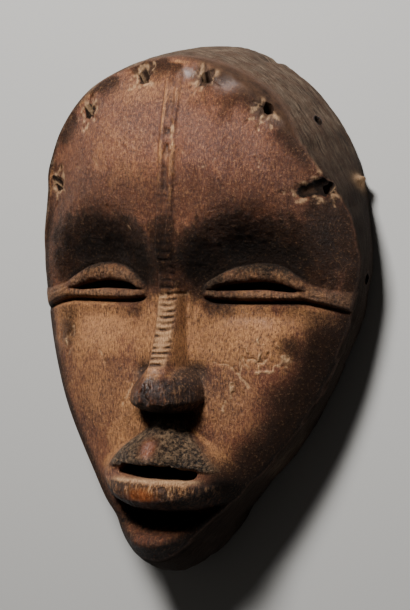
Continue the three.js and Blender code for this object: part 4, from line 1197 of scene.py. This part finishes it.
    height = n.plus(n.times(grain, 0.9), n.times(fleck, 1.0))
    coats = n.plus(crust_and_shade, dark)
    reliefs = [(fleck, coats, 2.4), (rake, dull, 1.6), (crumb, crumbly, 6.0), (ridge, ridged, 5.0)]
    for noise, where, strength in reliefs:
        height = n.plus(height, n.times(n.times(noise, where), strength))
    inputs = {"Strength": BUMP_STRENGTH, "Distance": BUMP_DISTANCE, "Height": n.times(height, matt)}
    bump = n.add("ShaderNodeBump", inputs)
    n.link(bump.outputs[0], n.shader.inputs["Normal"])
    return n.material


mesh.materials.clear()
mesh.materials.append(aged_wood())
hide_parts("mask")
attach(mask, "root")

# %% [markdown]
# ## Floor, light and camera
# A loose mask can't stand, so it lies on its rim and the camera looks down on it. The key light stands
# beyond the crown, so it rakes over the forehead and leaves the eye hollows, the nose's underside and the
# chin's recess dark, as a mask lit from above on a wall would be.

# %% Floor
FLOOR_HALF = 3000


def pale_floor():
    """A plain matt sheet, curved nowhere, large enough to fill the view."""
    corners = np.array([[-1, -1, 0], [1, -1, 0], [1, 1, 0], [-1, 1, 0]]) * FLOOR_HALF
    floor = make_mesh("floor", corners, [[0, 1, 2, 3]])
    n = Nodes("floor_paint")
    n.link(colour(182, 180, 176), n.shader.inputs["Base Color"])
    n.link(0.9, n.shader.inputs["Roughness"])
    floor.data.materials.append(n.material)
    return floor


pale_floor()

# %% Lights
AIM, KEY_PLACE = Vector((0, 0, 0.035)), Vector((-0.07, 0.57, 0.69))
KEY_SIZE, KEY_WATTS = 0.20, 14.5
SKY_COLOUR, SKY_STRENGTH = (0.52, 0.5, 0.48, 1), 0.08
softbox = bpy.data.lights.new("key", "AREA")
softbox.size, softbox.energy = KEY_SIZE, KEY_WATTS
key = add_object("key", softbox)
key.location = KEY_PLACE
key.rotation_euler = (KEY_PLACE - AIM).to_track_quat("Z", "Y").to_euler()
world = bpy.data.worlds.new("studio")
world.use_nodes = True
sky = world.node_tree.nodes["Background"].inputs
sky["Color"].default_value, sky["Strength"].default_value = SKY_COLOUR, SKY_STRENGTH
bpy.context.scene.world = world

# %% [markdown]
# The camera stands 90 cm away, 24 degrees round to the mask's own left, with a long lens. Its frame is
# 410 by 610 pixels, and one millimetre on the floor is 2.18 pixels.

# %% Camera
YAW, PITCH, ROLL = math.radians(24), math.radians(1), math.radians(2.5)
DISTANCE, PIXELS_PER_METRE, FRAME_HEIGHT, SENSOR = 0.9, 2180, 610, 36
PICTURE_SHIFT = 13 / PIXELS_PER_METRE
ahead = Vector((math.sin(YAW), 0, math.cos(YAW)))
right, up = Vector((math.cos(YAW), 0, -math.sin(YAW))), Vector((0, 1, 0))
back = up * math.sin(PITCH) + ahead * math.cos(PITCH)
up = up * math.cos(PITCH) - ahead * math.sin(PITCH)
right, up = right * math.cos(ROLL) + up * math.sin(ROLL), up * math.cos(ROLL) - right * math.sin(ROLL)
camera = add_object("camera", bpy.data.cameras.new("camera"))
camera.data.sensor_width = SENSOR
camera.data.lens = SENSOR * DISTANCE / (FRAME_HEIGHT / PIXELS_PER_METRE)
origin = Vector((-middle[0], -middle[1], 0)) / 1000
turn = math.atan(PICTURE_SHIFT / DISTANCE)
facing = back * math.cos(turn) + right * math.sin(turn)
sideways = right * math.cos(turn) - back * math.sin(turn)
place = origin + back * DISTANCE
camera.matrix_world = Matrix((
    (sideways.x, up.x, facing.x, place.x),
    (sideways.y, up.y, facing.y, place.y),
    (sideways.z, up.z, facing.z, place.z),
    (0, 0, 0, 1),
))
bpy.context.scene.camera = camera
print("lens", round(camera.data.lens, 1), "mm")
